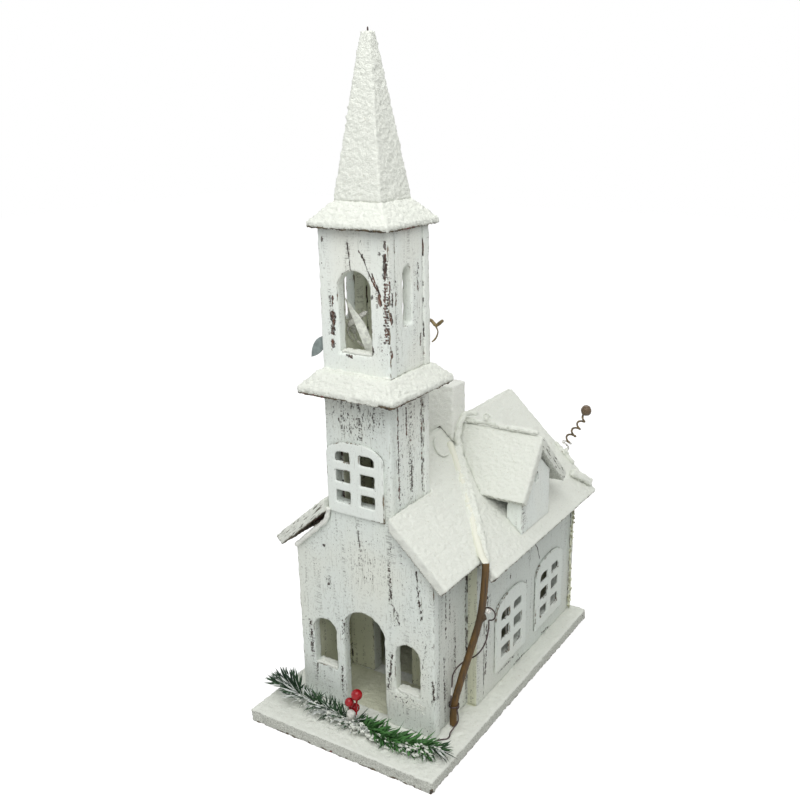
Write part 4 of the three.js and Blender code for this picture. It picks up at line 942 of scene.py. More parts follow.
def snowy(
    node, grid=SNOW_GRID, side_coat=0.6, under_coat=0.0, bare_foot=0.3, slot="snowy_roof",
    thickness=0.2 * MM, lumps=1.3 * MM, grit=1.9 * MM, ragged=45, bare=(), sawn_end=None,
    slope=(1, 0, 0), thin_line=0.0,
):
    """Stands for a CAD node under snow; the coats say how white its sides and its underside are.

    Raw wood shows along the lowest edges, in stretches, and at the bare places. A sawn end shows
    growth rings that run along the slope.
    """
    piece = copy_of(node, node + "_snowy")
    low_lines = ridge_lines(piece, facing_down=True) if bare_foot else []
    remeshed(piece, grid)
    up = vertex_normals(piece)[:, 2]
    points = places(piece)
    coat = under_coat + (side_coat - under_coat) * soft_step(up, -0.6, -0.15)
    coat = coat + (1 - side_coat) * soft_step(up, 0.1, 0.55)
    foot = bare_foot * soft_step(-distance_to_lines(points, low_lines), -3 * MM, -0.8 * MM) * (up < 0.3)
    for i in np.flatnonzero(foot):
        patchy = soft_step(np.array(noise.noise(Vector(points[i]) * ragged)), -0.1, 0.25)
        foot[i] *= thin_line + float(patchy)
    coat -= foot + soft_step(-distance_to_lines(points, bare), -1.5 * MM, 1.0 * MM) * (up < 0.5)
    write_field(piece, "coat", np.clip(coat, 0, 1))
    slope = Vector(slope).normalized()
    sawn = np.zeros(len(points))
    if sawn_end:
        sawn = soft_step(vertex_normals(piece) @ np.array(sawn_end), 0.75, 0.9)
        write_field(piece, "along", points @ np.array(slope))
        write_field(piece, "across", points @ np.array(slope.cross(Vector(sawn_end))))
    write_field(piece, "sawn", sawn)
    write_field(piece, "room_shade", room_shade_share(points) * (up > 0.5))
    roughen(piece, thickness, lumps, grit)
    finished(piece, roof_snow, slot, HOUSE, node)
    return piece


def bare_places(*spots):
    """Places where the wood shows: two ends and a half width in millimetres for each."""
    return [(np.array(a) * MM, np.array(b) * MM, half_width * MM) for a, b, half_width in spots]


# %% Base, roofs, chimney and spire
base = snowy(
    "base_board", side_coat=0.47, bare_foot=0.5, lumps=1.9 * MM, grit=2.4 * MM, ragged=170, thin_line=0.2,
    bare=bare_places(((100, -165.5, 0), (100, -165.5, 4), 1.5)),
)
base_points = places(base)
base_points[:, 2] = np.maximum(base_points[:, 2], 0)
move_to(base, base_points)
snowy("roof_slab_left", side_coat=0.95, bare_foot=0.15, sawn_end=(0, -1, 0), slope=(1.0, 0, 0.94))
snowy("roof_slab_right", side_coat=0.9, bare_foot=0.15)
# Painted light: full snow on the chimney's sides and the whiter snow make up for the tower's shade.
chimney = snowy("chimney", grid=1.2 * MM, side_coat=1.0)
chimney.data.materials[0] = brightened_snow
snowy("dormer_slab_front", grid=1.1 * MM, side_coat=0.95, under_coat=0.5, bare_foot=0.3)
snowy(
    "dormer_slab_rear", grid=1.0 * MM, side_coat=0.9, under_coat=0.5, bare_foot=0.1,
    sawn_end=(1, 0, 0), slope=(0, 1.0, -1.0),
)
snowy(
    "tower_skirt_roof", grid=1.0 * MM, side_coat=0.85, bare_foot=0.75, lumps=1.8 * MM, grit=2.4 * MM,
    bare=bare_places(
        ((-47, -133.7, 324.6), (2, -133.7, 324.6), 1.0),
        ((36, -133.7, 325.6), (47, -133.7, 325), 1.6),
    ),
)
snowy(
    "spire_skirt", grid=1.0 * MM, side_coat=0.9, bare_foot=0.65, lumps=1.8 * MM, grit=2.4 * MM,
    bare=bare_places(((-8, -121.8, 460), (37, -121.8, 460), 0.9)),
)
snowy("spire", grid=1.0 * MM, side_coat=1.0, under_coat=1.0, bare_foot=0)

# %% [markdown]
# ## Loose snow
#
# Snow lies on the windows' sills, at the belfry's foot, on the facade's left shoulder and along the twig
# that crosses the roof. A pad of snow starts as a block and a roll as one or two tubes along a line. Both
# are remeshed into one closed skin and roughened like the roofs.


# %% Pads of snow
def all_snow_coat(piece, lumps=1.6 * MM, grit=1.6 * MM, grid=0.8 * MM, coat=1.0):
    """Makes a finished lump of snow of a rough shape."""
    remeshed(piece, grid)
    write_even_field(piece, "coat", coat)
    write_even_field(piece, "room_shade", 0)
    roughen(piece, 0.0, lumps, grit)
    finished(piece, roof_snow, "snowy_roof", HOUSE)


def snow_pad(name, centre, size):
    """A rough pad of snow, from its middle and its size in millimetres."""
    bpy.ops.mesh.primitive_cube_add(size=1)
    pad = bpy.context.active_object
    pad.name = name
    move_to(pad, places(pad) * (np.array(size) * MM) + np.array(centre) * MM)
    all_snow_coat(pad)


# %% Tubes and joining
def tube_along(name, points, radius, sides=5, sizes=None):
    """A round closed tube through some points, made as a curve and turned into a mesh."""
    curve = bpy.data.curves.new(name, "CURVE")
    curve.dimensions = "3D"
    curve.bevel_depth = radius
    curve.bevel_resolution = sides
    curve.use_fill_caps = True
    spline = curve.splines.new("NURBS")
    spline.points.add(len(points) - 1)
    for i, (spot, point) in enumerate(zip(spline.points, points)):
        spot.co = (*point, 1)
        spot.radius = sizes[i] if sizes else 1.0
    spline.use_endpoint_u = True
    spline.order_u = 3
    select_only(new_object(name, curve))
    bpy.ops.object.convert(target="MESH")
    return bpy.context.active_object


def joined(name, pieces):
    bpy.ops.object.select_all(action="DESELECT")
    for piece in pieces:
        piece.select_set(True)
    bpy.context.view_layer.objects.active = pieces[0]
    bpy.ops.object.join()
    pieces[0].name = name
    return pieces[0]


# %% Snow on the sills
snow_pad("sill_snow_left", (-45.5, -111.6, 51.2), (23.5, 9.4, 2.6))
snow_pad("sill_snow_right", (45.5, -111.6, 51.4), (23.5, 9.8, 3.0))
snow_pad("belfry_sill_snow", (0, -108.8, 359.8), (30, 9.0, 2.4))

# %% White lip on the left shoulder of the facade
SHOULDER = [
    (-72.0, 171.5), (-62, 181.2), (-51, 190.6), (-43, 198.2), (-37, 203.4), (-33.6, 209.5), (-32.4, 218),
]
shoulder_line = [Vector((x, facade_face - 2.3, z)) * MM for x, z in SHOULDER]
lip = tube_along("shoulder_lip", shoulder_line, 2.3 * MM)
all_snow_coat(lip, lumps=1.2 * MM, grit=1.0 * MM)
# Painted light: the lip takes the whiter copy of the snow.
lip.data.materials[0] = brightened_snow

# %% Snow at the foot of the belfry
belfry_low, belfry_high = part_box("belfry_front")[0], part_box("belfry_side_right")[1]
foot_z = belfry_low.z + 0.2 * MM
belfry_foot = [
    Vector((belfry_low.x, belfry_low.y - 0.3 * MM, foot_z)),
    Vector((0, belfry_low.y - 0.1 * MM, foot_z - 0.3 * MM)),
    Vector((belfry_high.x, belfry_low.y, foot_z)),
]
all_snow_coat(tube_along("belfry_foot_snow", belfry_foot, 1.7 * MM), lumps=2.6 * MM, grit=1.8 * MM)

# %% Snow along the twig on the roof
# A wide low tube and a narrow high one make the roll. The high one goes on up to the dormer's ridge.
roof_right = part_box("roof_slab_right")
ROOF_PITCH = math.radians(43.26)
RIDGE_HEIGHT = roof_right[1].z


def on_right_roof(x, y, lift):
    """A point over the right roof, from its X and Y in millimetres and its lift off the snow."""
    surface = RIDGE_HEIGHT - math.tan(ROOF_PITCH) * x * MM
    return Vector((x * MM + math.sin(ROOF_PITCH) * lift, y * MM, surface + math.cos(ROOF_PITCH) * lift))


TWIG_LINE = [(92, -62), (86, -56), (79, -49), (64, -32.5), (47, -14.5), (33, -1), (24, 8), (19, 14)]
LOW_SIZES = [0.3, 0.6, 0.85, 1.0, 1.05, 1.0, 1.0, 0.9]
HIGH_SIZES = [0.5, 0.8, 0.95, 1.0, 0.95, 1.0, 1.0, 0.9]
TWIG_TOP = [(17.5, 21, 253), (17, 29, 263), (18, 36.5, 269.5), (30, 37, 270.5)]
low_roll = tube_along(
    "roll_low", [on_right_roof(x, y, -2.2 * MM) for x, y in TWIG_LINE], 6.8 * MM, sizes=LOW_SIZES,
)
high_line = [on_right_roof(x + 1.6, y + 1.6, 2.6 * MM) for x, y in TWIG_LINE]
high_line += [Vector(spot) * MM for spot in TWIG_TOP]
high_roll = tube_along("roll_high", high_line, 3.9 * MM, sizes=HIGH_SIZES + [0.8, 0.75, 0.8, 0.5])
# Painted shade: the roll's coat is kept below full, so grey patches dull it.
all_snow_coat(joined("snow_along_twig", [low_roll, high_roll]), lumps=3.0 * MM, grit=2.2 * MM, coat=0.84)

# %% Snow on the rear rake and on the dormer's ridge
RAKE_Y = 164.5
rake_line = [on_right_roof(x, RAKE_Y, 1.2 * MM) for x in (56, 63, 70, 78)]
rake_snow = tube_along("rake_snow", rake_line, 2.6 * MM, sizes=[0.5, 1.0, 0.9, 0.8])
all_snow_coat(rake_snow, lumps=2.6 * MM, grit=1.8 * MM)
ROSETTE = Vector((42, 36.5, 268.8))
rosette_line = [
    (ROSETTE + Vector((r * math.cos(a), -0.8, r * math.sin(a)))) * MM
    for r, a in ((4.6, 0.0), (4.4, 1.2), (4.0, 2.4), (3.4, 3.6), (2.6, 4.8), (1.6, 6.0), (0.6, 7.0))
]
rosette = tube_along("ridge_rosette", rosette_line, 1.2 * MM)
all_snow_coat(rosette, lumps=1.4 * MM, grit=1.0 * MM, grid=0.6 * MM)

# %% [markdown]
# ## Twigs and wire
#
# The twigs are round sticks with bark. A subdivision surface rounds the CAD tubes, which have few
# sides, and a cloudy texture roughens them.


# %% Bark and other twig finishes
def bark_finish(name, light, dark, snow):
    material, tree, shader, place = new_finish(name, 0.6)
    along = grain(tree, place, (420, 420, 40), 3)
    colour = mixed(tree, threshold(tree, along, 0.30, 0.62), dark, light)
    blotches = threshold(tree, grain(tree, place, (120, 120, 40), 3), 0.58, 0.72)
    colour = mixed(tree, times(tree, blotches, 0.5), colour, dark)
    colour = mixed(tree, times(tree, field(tree, "shade"), 0.75), colour, dark)
    dusted = plus(tree, field(tree, "coat"), swing(tree, grain(tree, place, (500, 500, 500), 3), 0.7))
    colour = mixed(tree, threshold(tree, dusted, 0.45, 0.6), colour, snow)
    tree.links.new(colour, shader.inputs["Base Color"])
    bumpy(tree, shader, along, 0.3 * MM, 0.5)
    return material


SILVER = (0.66, 0.66, 0.62)
SNOW_WHITE = (0.87, 0.875, 0.85)
# The vine's snow is olive grey: dust, with the shade beside the roll painted in.
vine_bark = bark_finish("vine_bark", (0.115, 0.060, 0.010), (0.042, 0.024, 0.007), (0.74, 0.745, 0.64))
olive_bark = bark_finish("olive_bark", (0.22, 0.16, 0.065), (0.09, 0.065, 0.03), SNOW_WHITE)
dry_vine = bark_finish("dry_vine", (0.56, 0.57, 0.42), (0.24, 0.23, 0.12), (0.76, 0.78, 0.62))
spring_coat = bark_finish("spring_coat", (0.17, 0.12, 0.055), (0.055, 0.040, 0.024), SNOW_WHITE)


def wire_finish(name, colour, roughness, metallic=0.35):
    material, tree, shader, place = new_finish(name, roughness, {"Metallic": metallic})
    tone = grain(tree, place, (800, 800, 800), 2)
    colour = mixed(tree, threshold(tree, tone, 0.35, 0.7), colour, tuple(c * 1.8 for c in colour))
    colour = mixed(tree, field(tree, "silver"), colour, SILVER)
    tree.links.new(colour, shader.inputs["Base Color"])
    return material


dark_wire = wire_finish("dark_wire", (0.045, 0.030, 0.028), 0.38)
ROUGH_TEXTURE = cloudy("bark_rough", 3 * MM)


def rounded(node, name, material, slot, swell=0.0, rough=0.0, snow_from=None):
    """A CAD tube made round and rough; its coat field is 1 where it lies under snow."""
    piece = copy_of(node, name)
    apply_modifier(piece, "SUBSURF", levels=2, render_levels=2)
    if rough:
        pushed(piece, ROUGH_TEXTURE, rough)
    move_to(piece, places(piece) + vertex_normals(piece) * swell)
    points = places(piece)
    up = vertex_normals(piece)[:, 2]
    coat = np.zeros(len(points)) if snow_from is None else snow_from(points, up)
    write_field(piece, "coat", coat)
    finished(piece, material, slot, HOUSE, node)
    return piece


# %% Twigs
KNOT = Vector((91.5, -66.9, 117.6)) * MM
EAVE_HEIGHT = 172 * MM
VINE_SINKS = 3.2 * MM
LOOP_SHARE = 0.8


def vine_snow(points, up):
    """Snow lies on the vine where it crosses the roof."""
    on_roof = soft_step(points[:, 2], EAVE_HEIGHT - 1 * MM, EAVE_HEIGHT + 4 * MM)
    return on_roof * (0.55 + 0.45 * soft_step(up, -0.4, 0.2))


def some_snow(points, up):
    return 0.45 * soft_step(up, 0.2, 0.8)


vine = rounded("vine_twig", "vine", vine_bark, "vine_bark", 0.25 * MM, 0.5 * MM, vine_snow)
vine_points = places(vine)
under_snow = soft_step(vine_points[:, 2], EAVE_HEIGHT, EAVE_HEIGHT + 8 * MM)[:, None] * VINE_SINKS
vine_points -= under_snow * np.array((math.sin(ROOF_PITCH), 0, math.cos(ROOF_PITCH)))
move_to(vine, vine_points)
from_knot = np.linalg.norm(vine_points - np.array(KNOT), axis=1)
write_field(vine, "shade", soft_step(-from_knot, -24 * MM, -4 * MM))
for node, swell in (("ridge_twig", 0.2), ("rake_twig", 0.4), ("roof_loop", 0.6)):
    twig = snowy(
        node, grid=0.7 * MM, side_coat=0.9, under_coat=0.7, bare_foot=0, slot="snowy_twig",
        thickness=swell * MM, lumps=2.6 * MM, grit=1.6 * MM,
    )

# The loop is the last of the three. It is drawn in a little, towards its top.
loop_points = places(twig)
loop_top = loop_points[np.argmax(loop_points[:, 2])]
move_to(twig, loop_top + (loop_points - loop_top) * LOOP_SHARE)
rounded("back_twig", "back_stick", olive_bark, "vine_bark", -0.15 * MM, 0.6 * MM, some_snow)

# %% Knot of the vine
knot = tube_along("vine_knot", [
    KNOT + Vector((-1.0, 0, -7)) * MM,
    KNOT + Vector((0.6, 0.2, 0)) * MM,
    KNOT + Vector((4.6, 1.0, 2.4)) * MM,
], 2.9 * MM)
remeshed(knot, 0.8 * MM)
pushed(knot, ROUGH_TEXTURE, 1.4 * MM)
write_even_field(knot, "coat", 0)
write_even_field(knot, "shade", 1)
finished(knot, vine_bark, "vine_bark", HOUSE)


# %% Scattered lumps
def scattered(name, spots, stretches):
    """One mesh of many small round lumps, each with its place and its half size along X, Y and Z."""
    bpy.ops.mesh.primitive_ico_sphere_add(subdivisions=2, radius=1)
    ball = bpy.context.active_object
    round_points = places(ball)
    round_faces = [tuple(polygon.vertices) for polygon in ball.data.polygons]
    bpy.data.objects.remove(ball)
    vertices = np.vstack([round_points * stretch + spot for spot, stretch in zip(spots, stretches)])
    count = len(round_points)
    faces = [tuple(i + k * count for i in face) for k in range(len(spots)) for face in round_faces]
    mesh = bpy.data.meshes.new(name)
    mesh.from_pydata(vertices.tolist(), [], faces)
    return new_object(name, mesh)


# %% Snow grains under the right window
GRAINS = 170
shaker = random.Random(3)
grain_spots = []
grain_sizes = []
for i in range(GRAINS):
    across = shaker.uniform(0, 1)
    drop = shaker.betavariate(1.2, 2.0)
    z = 48.5 - 3.5 * across - 10.5 * drop
    grain_spots.append(np.array((25 + 38 * across, facade_face - 0.1, z)) * MM)
    grain_sizes.append(np.array((shaker.uniform(0.4, 1.2), 0.55, shaker.uniform(0.35, 0.8))) * MM)
window_grains = scattered("window_grains", grain_spots, grain_sizes)
write_even_field(window_grains, "coat", 1)
finished(window_grains, roof_snow, "snowy_roof", HOUSE)

# %% Strand at the rear corner
corner_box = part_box("corner_vine")
strand_middle = (corner_box[0] + corner_box[1]) / 2
STRAND_FOOT = 15.0
STRAND_TOP = 148.0
STRAND_POINTS = 46
FIBRES = 46
STRAND_LUMPS = 34


def strand_at(z, turn=0.0, off=0.0):
    """A point of the strand at a height in millimetres, a little way off its middle."""
    sway = 1.6 * math.sin(z * 0.055) + 0.8 * math.sin(z * 0.21)
    angle = z * 0.33 + turn
    return Vector((
        strand_middle.x + (0.3 + off * math.cos(angle)) * MM,
        strand_middle.y + (sway + off * math.sin(angle)) * MM,
        z * MM,
    ))


heights = np.linspace(STRAND_FOOT, STRAND_TOP, STRAND_POINTS)
strands = [
    tube_along("strand", [strand_at(z, turn, 0.8) for z in heights], 0.6 * MM, 2)
    for turn in (0.0, math.pi)
]
for i in range(FIBRES):
    z = shaker.uniform(STRAND_FOOT + 2, STRAND_TOP)
    root = strand_at(z)
    tip = root + Vector([shaker.uniform(-3, 3), shaker.uniform(-4, 4), shaker.uniform(-5, 5)]) * MM
    tip.x = max(tip.x, root.x - 0.8 * MM)
    strands.append(tube_along("fibre", [root, root.lerp(tip, 0.5), tip], 0.22 * MM, 1))
lump_heights = [shaker.uniform(STRAND_FOOT, STRAND_TOP) for i in range(STRAND_LUMPS)]
strands.append(scattered(
    "strand_lumps",
    [np.array(strand_at(z, shaker.uniform(0, 6), 1.3)) for z in lump_heights],
    [np.array([shaker.uniform(0.7, 1.8) for axis in range(3)]) * MM for z in lump_heights],
))
strand = joined("corner_strand", strands)
strand_points = places(strand)
strand_coat = [0.5 + 0.7 * noise.noise(Vector(point) * 260) for point in strand_points]
write_field(strand, "coat", np.array(strand_coat))
finished(strand, dry_vine, "fuzzy_vine", HOUSE, "corner_vine")

# %% Wires and beads
tendril = rounded("tendril_wire", "tendril", dark_wire, "dark_wire", 0.08 * MM)
tendril_points = places(tendril)
BINDING_HEIGHT = 50.5 * MM
from_binding = abs(tendril_points[:, 2] - BINDING_HEIGHT)
write_field(tendril, "silver", soft_step(-from_binding, -4.5 * MM, -3.0 * MM))


def low_snow(points, up):
    """The lowest turn of the sprung wire is white with snow."""
    return 0.55 * soft_step(-points[:, 2], -213.5 * MM, -208.5 * MM)


sprung = rounded("spring_wire", "sprung_wire", spring_coat, "dark_wire", 0.42 * MM, 0.6 * MM, low_snow)
sprung_points = places(sprung)
sprung_foot = sprung_points[np.argmin(sprung_points[:, 2])]
SPRING_SNOW = np.array([
    [(0, 0, 0.5), (2.6, 1.8, 1.6)],
    [(2.0, -0.6, 2.4), (2.0, 1.4, 1.6)],
    [(4.0, 0.2, 1.2), (1.6, 1.2, 1.0)],
    [(1.2, 0.3, 5.0), (1.3, 1.0, 1.1)],
]) * MM
spring_lumps = scattered("spring_snow", sprung_foot + SPRING_SNOW[:, 0], SPRING_SNOW[:, 1])
all_snow_coat(spring_lumps, grid=0.5 * MM, lumps=1.2 * MM, grit=0.8 * MM)

pale_bead = wire_finish("pale_bead", (0.50, 0.50, 0.46), 0.25, metallic=0)
nut_bead = wire_finish("nut_bead", (0.085, 0.055, 0.028), 0.4, metallic=0)
rounded("tendril_bead", "bead_in_ring", pale_bead, "pale_bead", 0.7 * MM, 1.2 * MM)
rounded("spring_bead", "bead_on_wire", nut_bead, "brown_bead", 0.5 * MM, 1.2 * MM)
rounded("spire_nail", "nail", dark_wire, "nail_steel")

# %% [markdown]
# ## Garland and berries
#
# The garland is a wired pine pick: a thin stem with flat, dark green needles that lean outwards from
# the middle, and snow that clings to its front and its stem. Each needle is a closed, flat blade of a
# few faces, because there are hundreds of them.

# %% Garland line
random.seed(7)
between = random.uniform
facade_y = facade_face * MM
GARLAND_HALF = 94
GARLAND_POINTS = [
    Vector((-GARLAND_HALF, -17.5, 26.6)),
    Vector((-48, -20.5, 22.0)),
    Vector((-8, -22.5, 20.0)),
    Vector((50, -25, 17.0)),
    Vector((GARLAND_HALF, -18, 22.6)),
]


def garland_at(share):
    """A point of the garland's stem, from 0 at its left end to 1 at its right end."""
    x = (2 * share - 1) * GARLAND_HALF
    for a, b in zip(GARLAND_POINTS, GARLAND_POINTS[1:]):
        if x <= b.x or b is GARLAND_POINTS[-1]:
            t = max(0.0, min(1.0, (x - a.x) / (b.x - a.x)))
            smooth = t * t * (3 - 2 * t) * 0.4 + t * 0.6
            spot = a.lerp(b, t)
            spot.y = a.y + (b.y - a.y) * smooth
            spot.z = a.z + (b.z - a.z) * smooth
            return Vector((spot.x * MM, facade_y + spot.y * MM, spot.z * MM))


print("garland from", [round(v, 3) for v in garland_at(0)], "to", [round(v, 3) for v in garland_at(1)])


# %% Needles
NEEDLE_VERTICES = 13
SNOW_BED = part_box("base_board")[1].z + 0.7 * MM
FACADE_GAP = facade_y - 0.6 * MM


def add_blade(vertices, faces, foot, direction, flat, length, width, bend):
    """One flat needle: four-sided rings that narrow to a point, with a slight bend."""
    side = direction.cross(flat).normalized()
    normal = side.cross(direction).normalized()
    start = len(vertices)
    rings = ((0.0, 0.55), (0.3, 1.0), (0.7, 0.8))
    for share, size in rings:
        centre = foot + direction * (length * share) + normal * (bend * share * share)
        half = width / 2 * size
        thick = 0.25 * MM * size
        for offset in (side * half, normal * thick, side * -half, normal * -thick):
            vertices.append(centre + offset)
    vertices.append(foot + direction * length + normal * bend)
    tip = len(vertices) - 1
    faces.append((start + 3, start + 2, start + 1, start))
    for ring in range(len(rings) - 1):
        low = start + 4 * ring
        for k in range(4):
            faces.append((low + k, low + (k + 1) % 4, low + 4 + (k + 1) % 4, low + 4 + k))
    low = start + 4 * (len(rings) - 1)
    for k in range(4):
        faces.append((low + k, low + (k + 1) % 4, tip))


# %% Placing a needle
needle_vertices = []
needle_faces = []
needle_snow = []
needle_green = []


def stretch_of(t, left, right):
    """1 where t, from -1 at the left end to 1 at the right, is between two places, with soft ends."""
    rising = soft_step(np.array(t), left - 0.05, left + 0.05)
    return float(rising * soft_step(np.array(-t), -right - 0.05, -right + 0.05))


def add_needle(t, direction, length, width, snow, green, bend=3.0):
    """A needle from the stem at t; its length and width are in millimetres."""
    foot = garland_at(0.5 + (t + between(-0.02, 0.02)) / 2 * 0.96)
    flat = Vector([between(-1, 1) for axis in range(3)]).normalized()
    add_blade(
        needle_vertices, needle_faces, foot, direction.normalized(), flat, length * MM, width * MM,
        between(-bend, bend) * MM,
    )
    needle_snow.extend([min(1.0, snow)] * NEEDLE_VERTICES)
    needle_green.extend([max(0.0, green)] * NEEDLE_VERTICES)


def scatter_of(amount):
    return Vector([random.gauss(0, amount) for axis in range(3)])


# %% Tufts along the stem
TUFTS = 60
NEEDLES_IN_TUFT = 11
GOLDEN_SHARE = 0.618034
for tuft in range(TUFTS):
    t = -1 + 2 * (tuft + 0.5) / TUFTS
    round_stem = math.radians(-25 + 230 * ((tuft * GOLDEN_SHARE) % 1))
    dark_tuft = stretch_of(t, -0.92, -0.70)
    lush_half = stretch_of(t, 0.10, 0.86)
    end = max(0.0, (abs(t) - 0.82) / 0.18)
    outward = Vector((
        math.copysign(0.75, t) * (1 + 0.9 * lush_half),
        math.cos(round_stem),
        math.sin(round_stem) + 0.05 + 1.3 * dark_tuft,
    )).normalized()
    snowy_side = -math.cos(round_stem) > 0.1 or math.sin(round_stem) < 0.1
    count = int(NEEDLES_IN_TUFT * (1 + 0.1 * lush_half + 0.5 * dark_tuft))
    for i in range(count):
        snow = between(0.2, 0.9) if snowy_side else between(0.0, 0.35) * (1 - dark_tuft)
        green = 0.16 + 0.8 * lush_half * between(0.5, 1.15) + between(-0.15, 0.2)
        add_needle(
            t,
            outward + scatter_of(0.34) + Vector((math.copysign(1.6 * end, t), 0, 0.25 * end)),
            between(10, 18) + 7 * dark_tuft + between(0, 6) * lush_half,
            between(1.1, 1.9) + 1.2 * dark_tuft + between(0.2, 2.2) * lush_half,
            snow * (1 - 0.45 * lush_half),
            green - 0.12 * dark_tuft,
        )

print("needles in tufts", len(needle_snow) // NEEDLE_VERTICES)

# %% Loose needles
# Snowy ones lie over the left half, a few long ones stand out at both ends, and short thick ones lie
# before the middle and the right half.
LEFT_NEEDLES = 75
END_NEEDLES = 16
FRONT_NEEDLES = 60
for i in range(LEFT_NEEDLES):
    t = between(-0.9, -0.2)
    lying = Vector((between(-1.0, -0.3), between(-0.9, -0.2), between(-0.25, 0.1)))
    add_needle(t, lying + scatter_of(0.15), between(9, 17), between(0.8, 1.4), between(0.5, 1), 0.2)
for i in range(END_NEEDLES):
    lying = Vector((-1.0, between(-0.5, 0.2), between(-0.15, 0.6)))
    add_needle(between(-1, -0.86), lying, between(14, 24), 1.3, between(0, 0.5), 0.45, 1.0)
for i in range(END_NEEDLES):
    lying = Vector((1.0, between(-0.8, 0.2), between(-0.35, 0.15)))
    add_needle(between(0.86, 1), lying, between(12, 20), 0.9, between(0, 0.3), 0.0, 1.0)
for i in range(FRONT_NEEDLES):
    t = random.choice((random.gauss(0.06, 0.06), random.gauss(0.72, 0.07)))
    lying = Vector((between(-0.6, 1.0), between(-1.0, -0.3), between(-0.3, 0.5)))
    add_needle(t, lying, between(7, 13), between(1.0, 1.8), between(0.7, 1.0), 0.3)

for vertex in needle_vertices:
    vertex.z = max(vertex.z, SNOW_BED + 0.1 * (vertex.z - SNOW_BED))
    vertex.y = min(vertex.y, FACADE_GAP + 0.1 * (vertex.y - FACADE_GAP))

needle_mesh = bpy.data.meshes.new("pine_needles")
needle_mesh.from_pydata(needle_vertices, [], needle_faces)
needles = new_object("pine_needles", needle_mesh)
write_field(needles, "coat", np.array(needle_snow))
write_field(needles, "green", np.array(needle_green))
print("needles", len(needle_snow) // NEEDLE_VERTICES)

# %% Stem and clumps of snow
CLUMPS = 230
stem = tube_along("garland_stem", [garland_at(share / 12) for share in range(13)], 1.5 * MM, 2)
clump_spots = []
clump_sizes = []
for i in range(CLUMPS):
    share = random.choice((
        between(0.05, 0.42),
        random.gauss(0.55, 0.05),
        random.gauss(0.84, 0.06),
        between(0.3, 1.0),
    ))
    side = between(math.radians(110), math.radians(240))
    reach = between(3, 11) * MM
    spot = garland_at(min(0.99, max(0.01, share)))
    spot += Vector((0, math.cos(side), math.sin(side) * 0.6)) * reach
    size = between(0.5, 1.5) * (0.75 if share < 0.42 else 1.0) * MM
    spot.z = max(spot.z, SNOW_BED + size * 0.3)
    clump_spots.append(np.array(spot))
    clump_sizes.append(size * np.array([between(0.8, 2.4), between(0.7, 1.3), between(0.4, 0.9)]))
garland_snow = joined("garland_snow", [stem, scattered("clumps", clump_spots, clump_sizes)])
pushed(garland_snow, GRIT_TEXTURE, 2.2 * MM)
write_even_field(garland_snow, "coat", 1)
write_even_field(garland_snow, "room_shade", 0)
finished(garland_snow, roof_snow, "snow_berry", HOUSE)


# %% Pine finish
def pine_finish():
    material, tree, shader, place = new_finish("pine_green", 0.55)
    colour = mixed(tree, field(tree, "green"), (0.008, 0.030, 0.013), (0.075, 0.22, 0.055))
    dusted = plus(tree, field(tree, "coat"), swing(tree, grain(tree, place, (600, 600, 600), 3), 0.8))
    colour = mixed(tree, threshold(tree, dusted, 0.50, 0.66), colour, (0.74, 0.77, 0.74))
    tree.links.new(colour, shader.inputs["Base Color"])
    return material


pine_green = pine_finish()
finished(needles, pine_green, "pine", HOUSE, "garland")


# %% Berries
def gloss_finish(name, colour, roughness, inputs=None):
    material, tree, shader, place = new_finish(name, roughness, inputs)
    tone = grain(tree, place, (300, 300, 300), 2)
    darker = tuple(c * 0.7 for c in colour)
    colour = mixed(tree, threshold(tree, tone, 0.3, 0.7), darker, colour)
    tree.links.new(colour, shader.inputs["Base Color"])
    return material


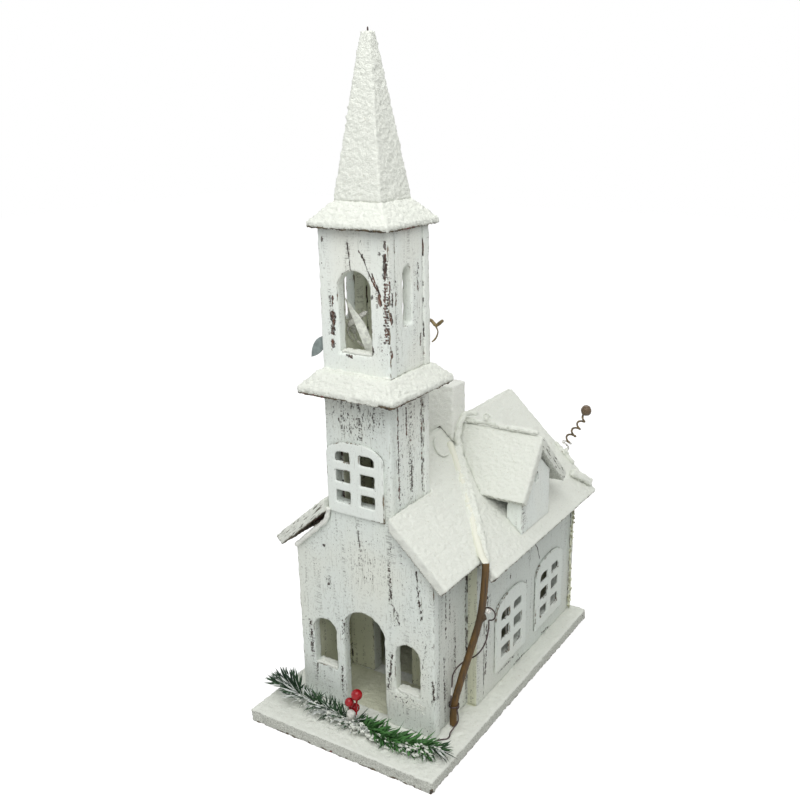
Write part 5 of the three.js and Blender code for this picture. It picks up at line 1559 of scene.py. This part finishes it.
berry_red = gloss_finish("berry_red", (0.38, 0.006, 0.012), 0.24, {"Specular IOR Level": 0.35})
for berry in ("berry_1", "berry_2", "berry_3"):
    rounded(berry, berry + "_round", berry_red, "red_berry", 0.15 * MM)
berry_snow = gloss_finish("berry_snow", (0.74, 0.74, 0.68), 0.85)
rounded("snow_berry", "snow_berry_round", berry_snow, "snow_berry", 0.15 * MM, 1.2 * MM)

# %% [markdown]
# ## Leaf, blade, light string and battery box
#
# These small pieces keep the CAD shape: the leaf and the blade are bevelled, the light string is rounded,
# and the battery box is left as it is. Their finishes are plain, and still vary a little.

# %% Leaf and blade
leaf_grey = gloss_finish("leaf_grey", (0.26, 0.31, 0.30), 0.6)
blade_white = gloss_finish("blade_white", (0.86, 0.88, 0.80), 0.6)
for node, material in (("grey_leaf", leaf_grey), ("white_blade", blade_white)):
    thin = copy_of(node, node + "_thin")
    apply_modifier(thin, "BEVEL", width=0.25 * MM, segments=2, limit_method="ANGLE")
    finished(thin, material, node, HOUSE, node)

# %% Light string
string_white = gloss_finish("string_white", (0.80, 0.79, 0.72), 0.45)
lamp_clear = gloss_finish("lamp_clear", (0.86, 0.86, 0.80), 0.15, {"Transmission Weight": 0.35})
rounded("string_wire", "string", string_white, "string_insulation", 0.1 * MM)
for lamp in ("belfry_lamp_1", "belfry_lamp_2", "nave_lamp_1", "nave_lamp_2"):
    rounded(lamp, lamp + "_clear", lamp_clear, "lamp", 0.1 * MM)

# %% Battery box
case_white = gloss_finish("case_white", (0.72, 0.72, 0.68), 0.4)
switch_black = gloss_finish("switch_black", (0.03, 0.03, 0.032), 0.45)
cell_sleeve = gloss_finish("cell_sleeve", (0.35, 0.22, 0.07), 0.3)
contact_metal = gloss_finish("contact_metal", (0.60, 0.58, 0.52), 0.3, {"Metallic": 1})
for node, material in (
    ("battery_case", case_white),
    ("battery_cover", case_white),
    ("switch_slider", switch_black),
    ("battery_1", cell_sleeve),
    ("battery_2", cell_sleeve),
    ("battery_contact_front", contact_metal),
    ("battery_contact_rear", contact_metal),
):
    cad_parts[node].data.materials.clear()
    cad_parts[node].data.materials.append(material)
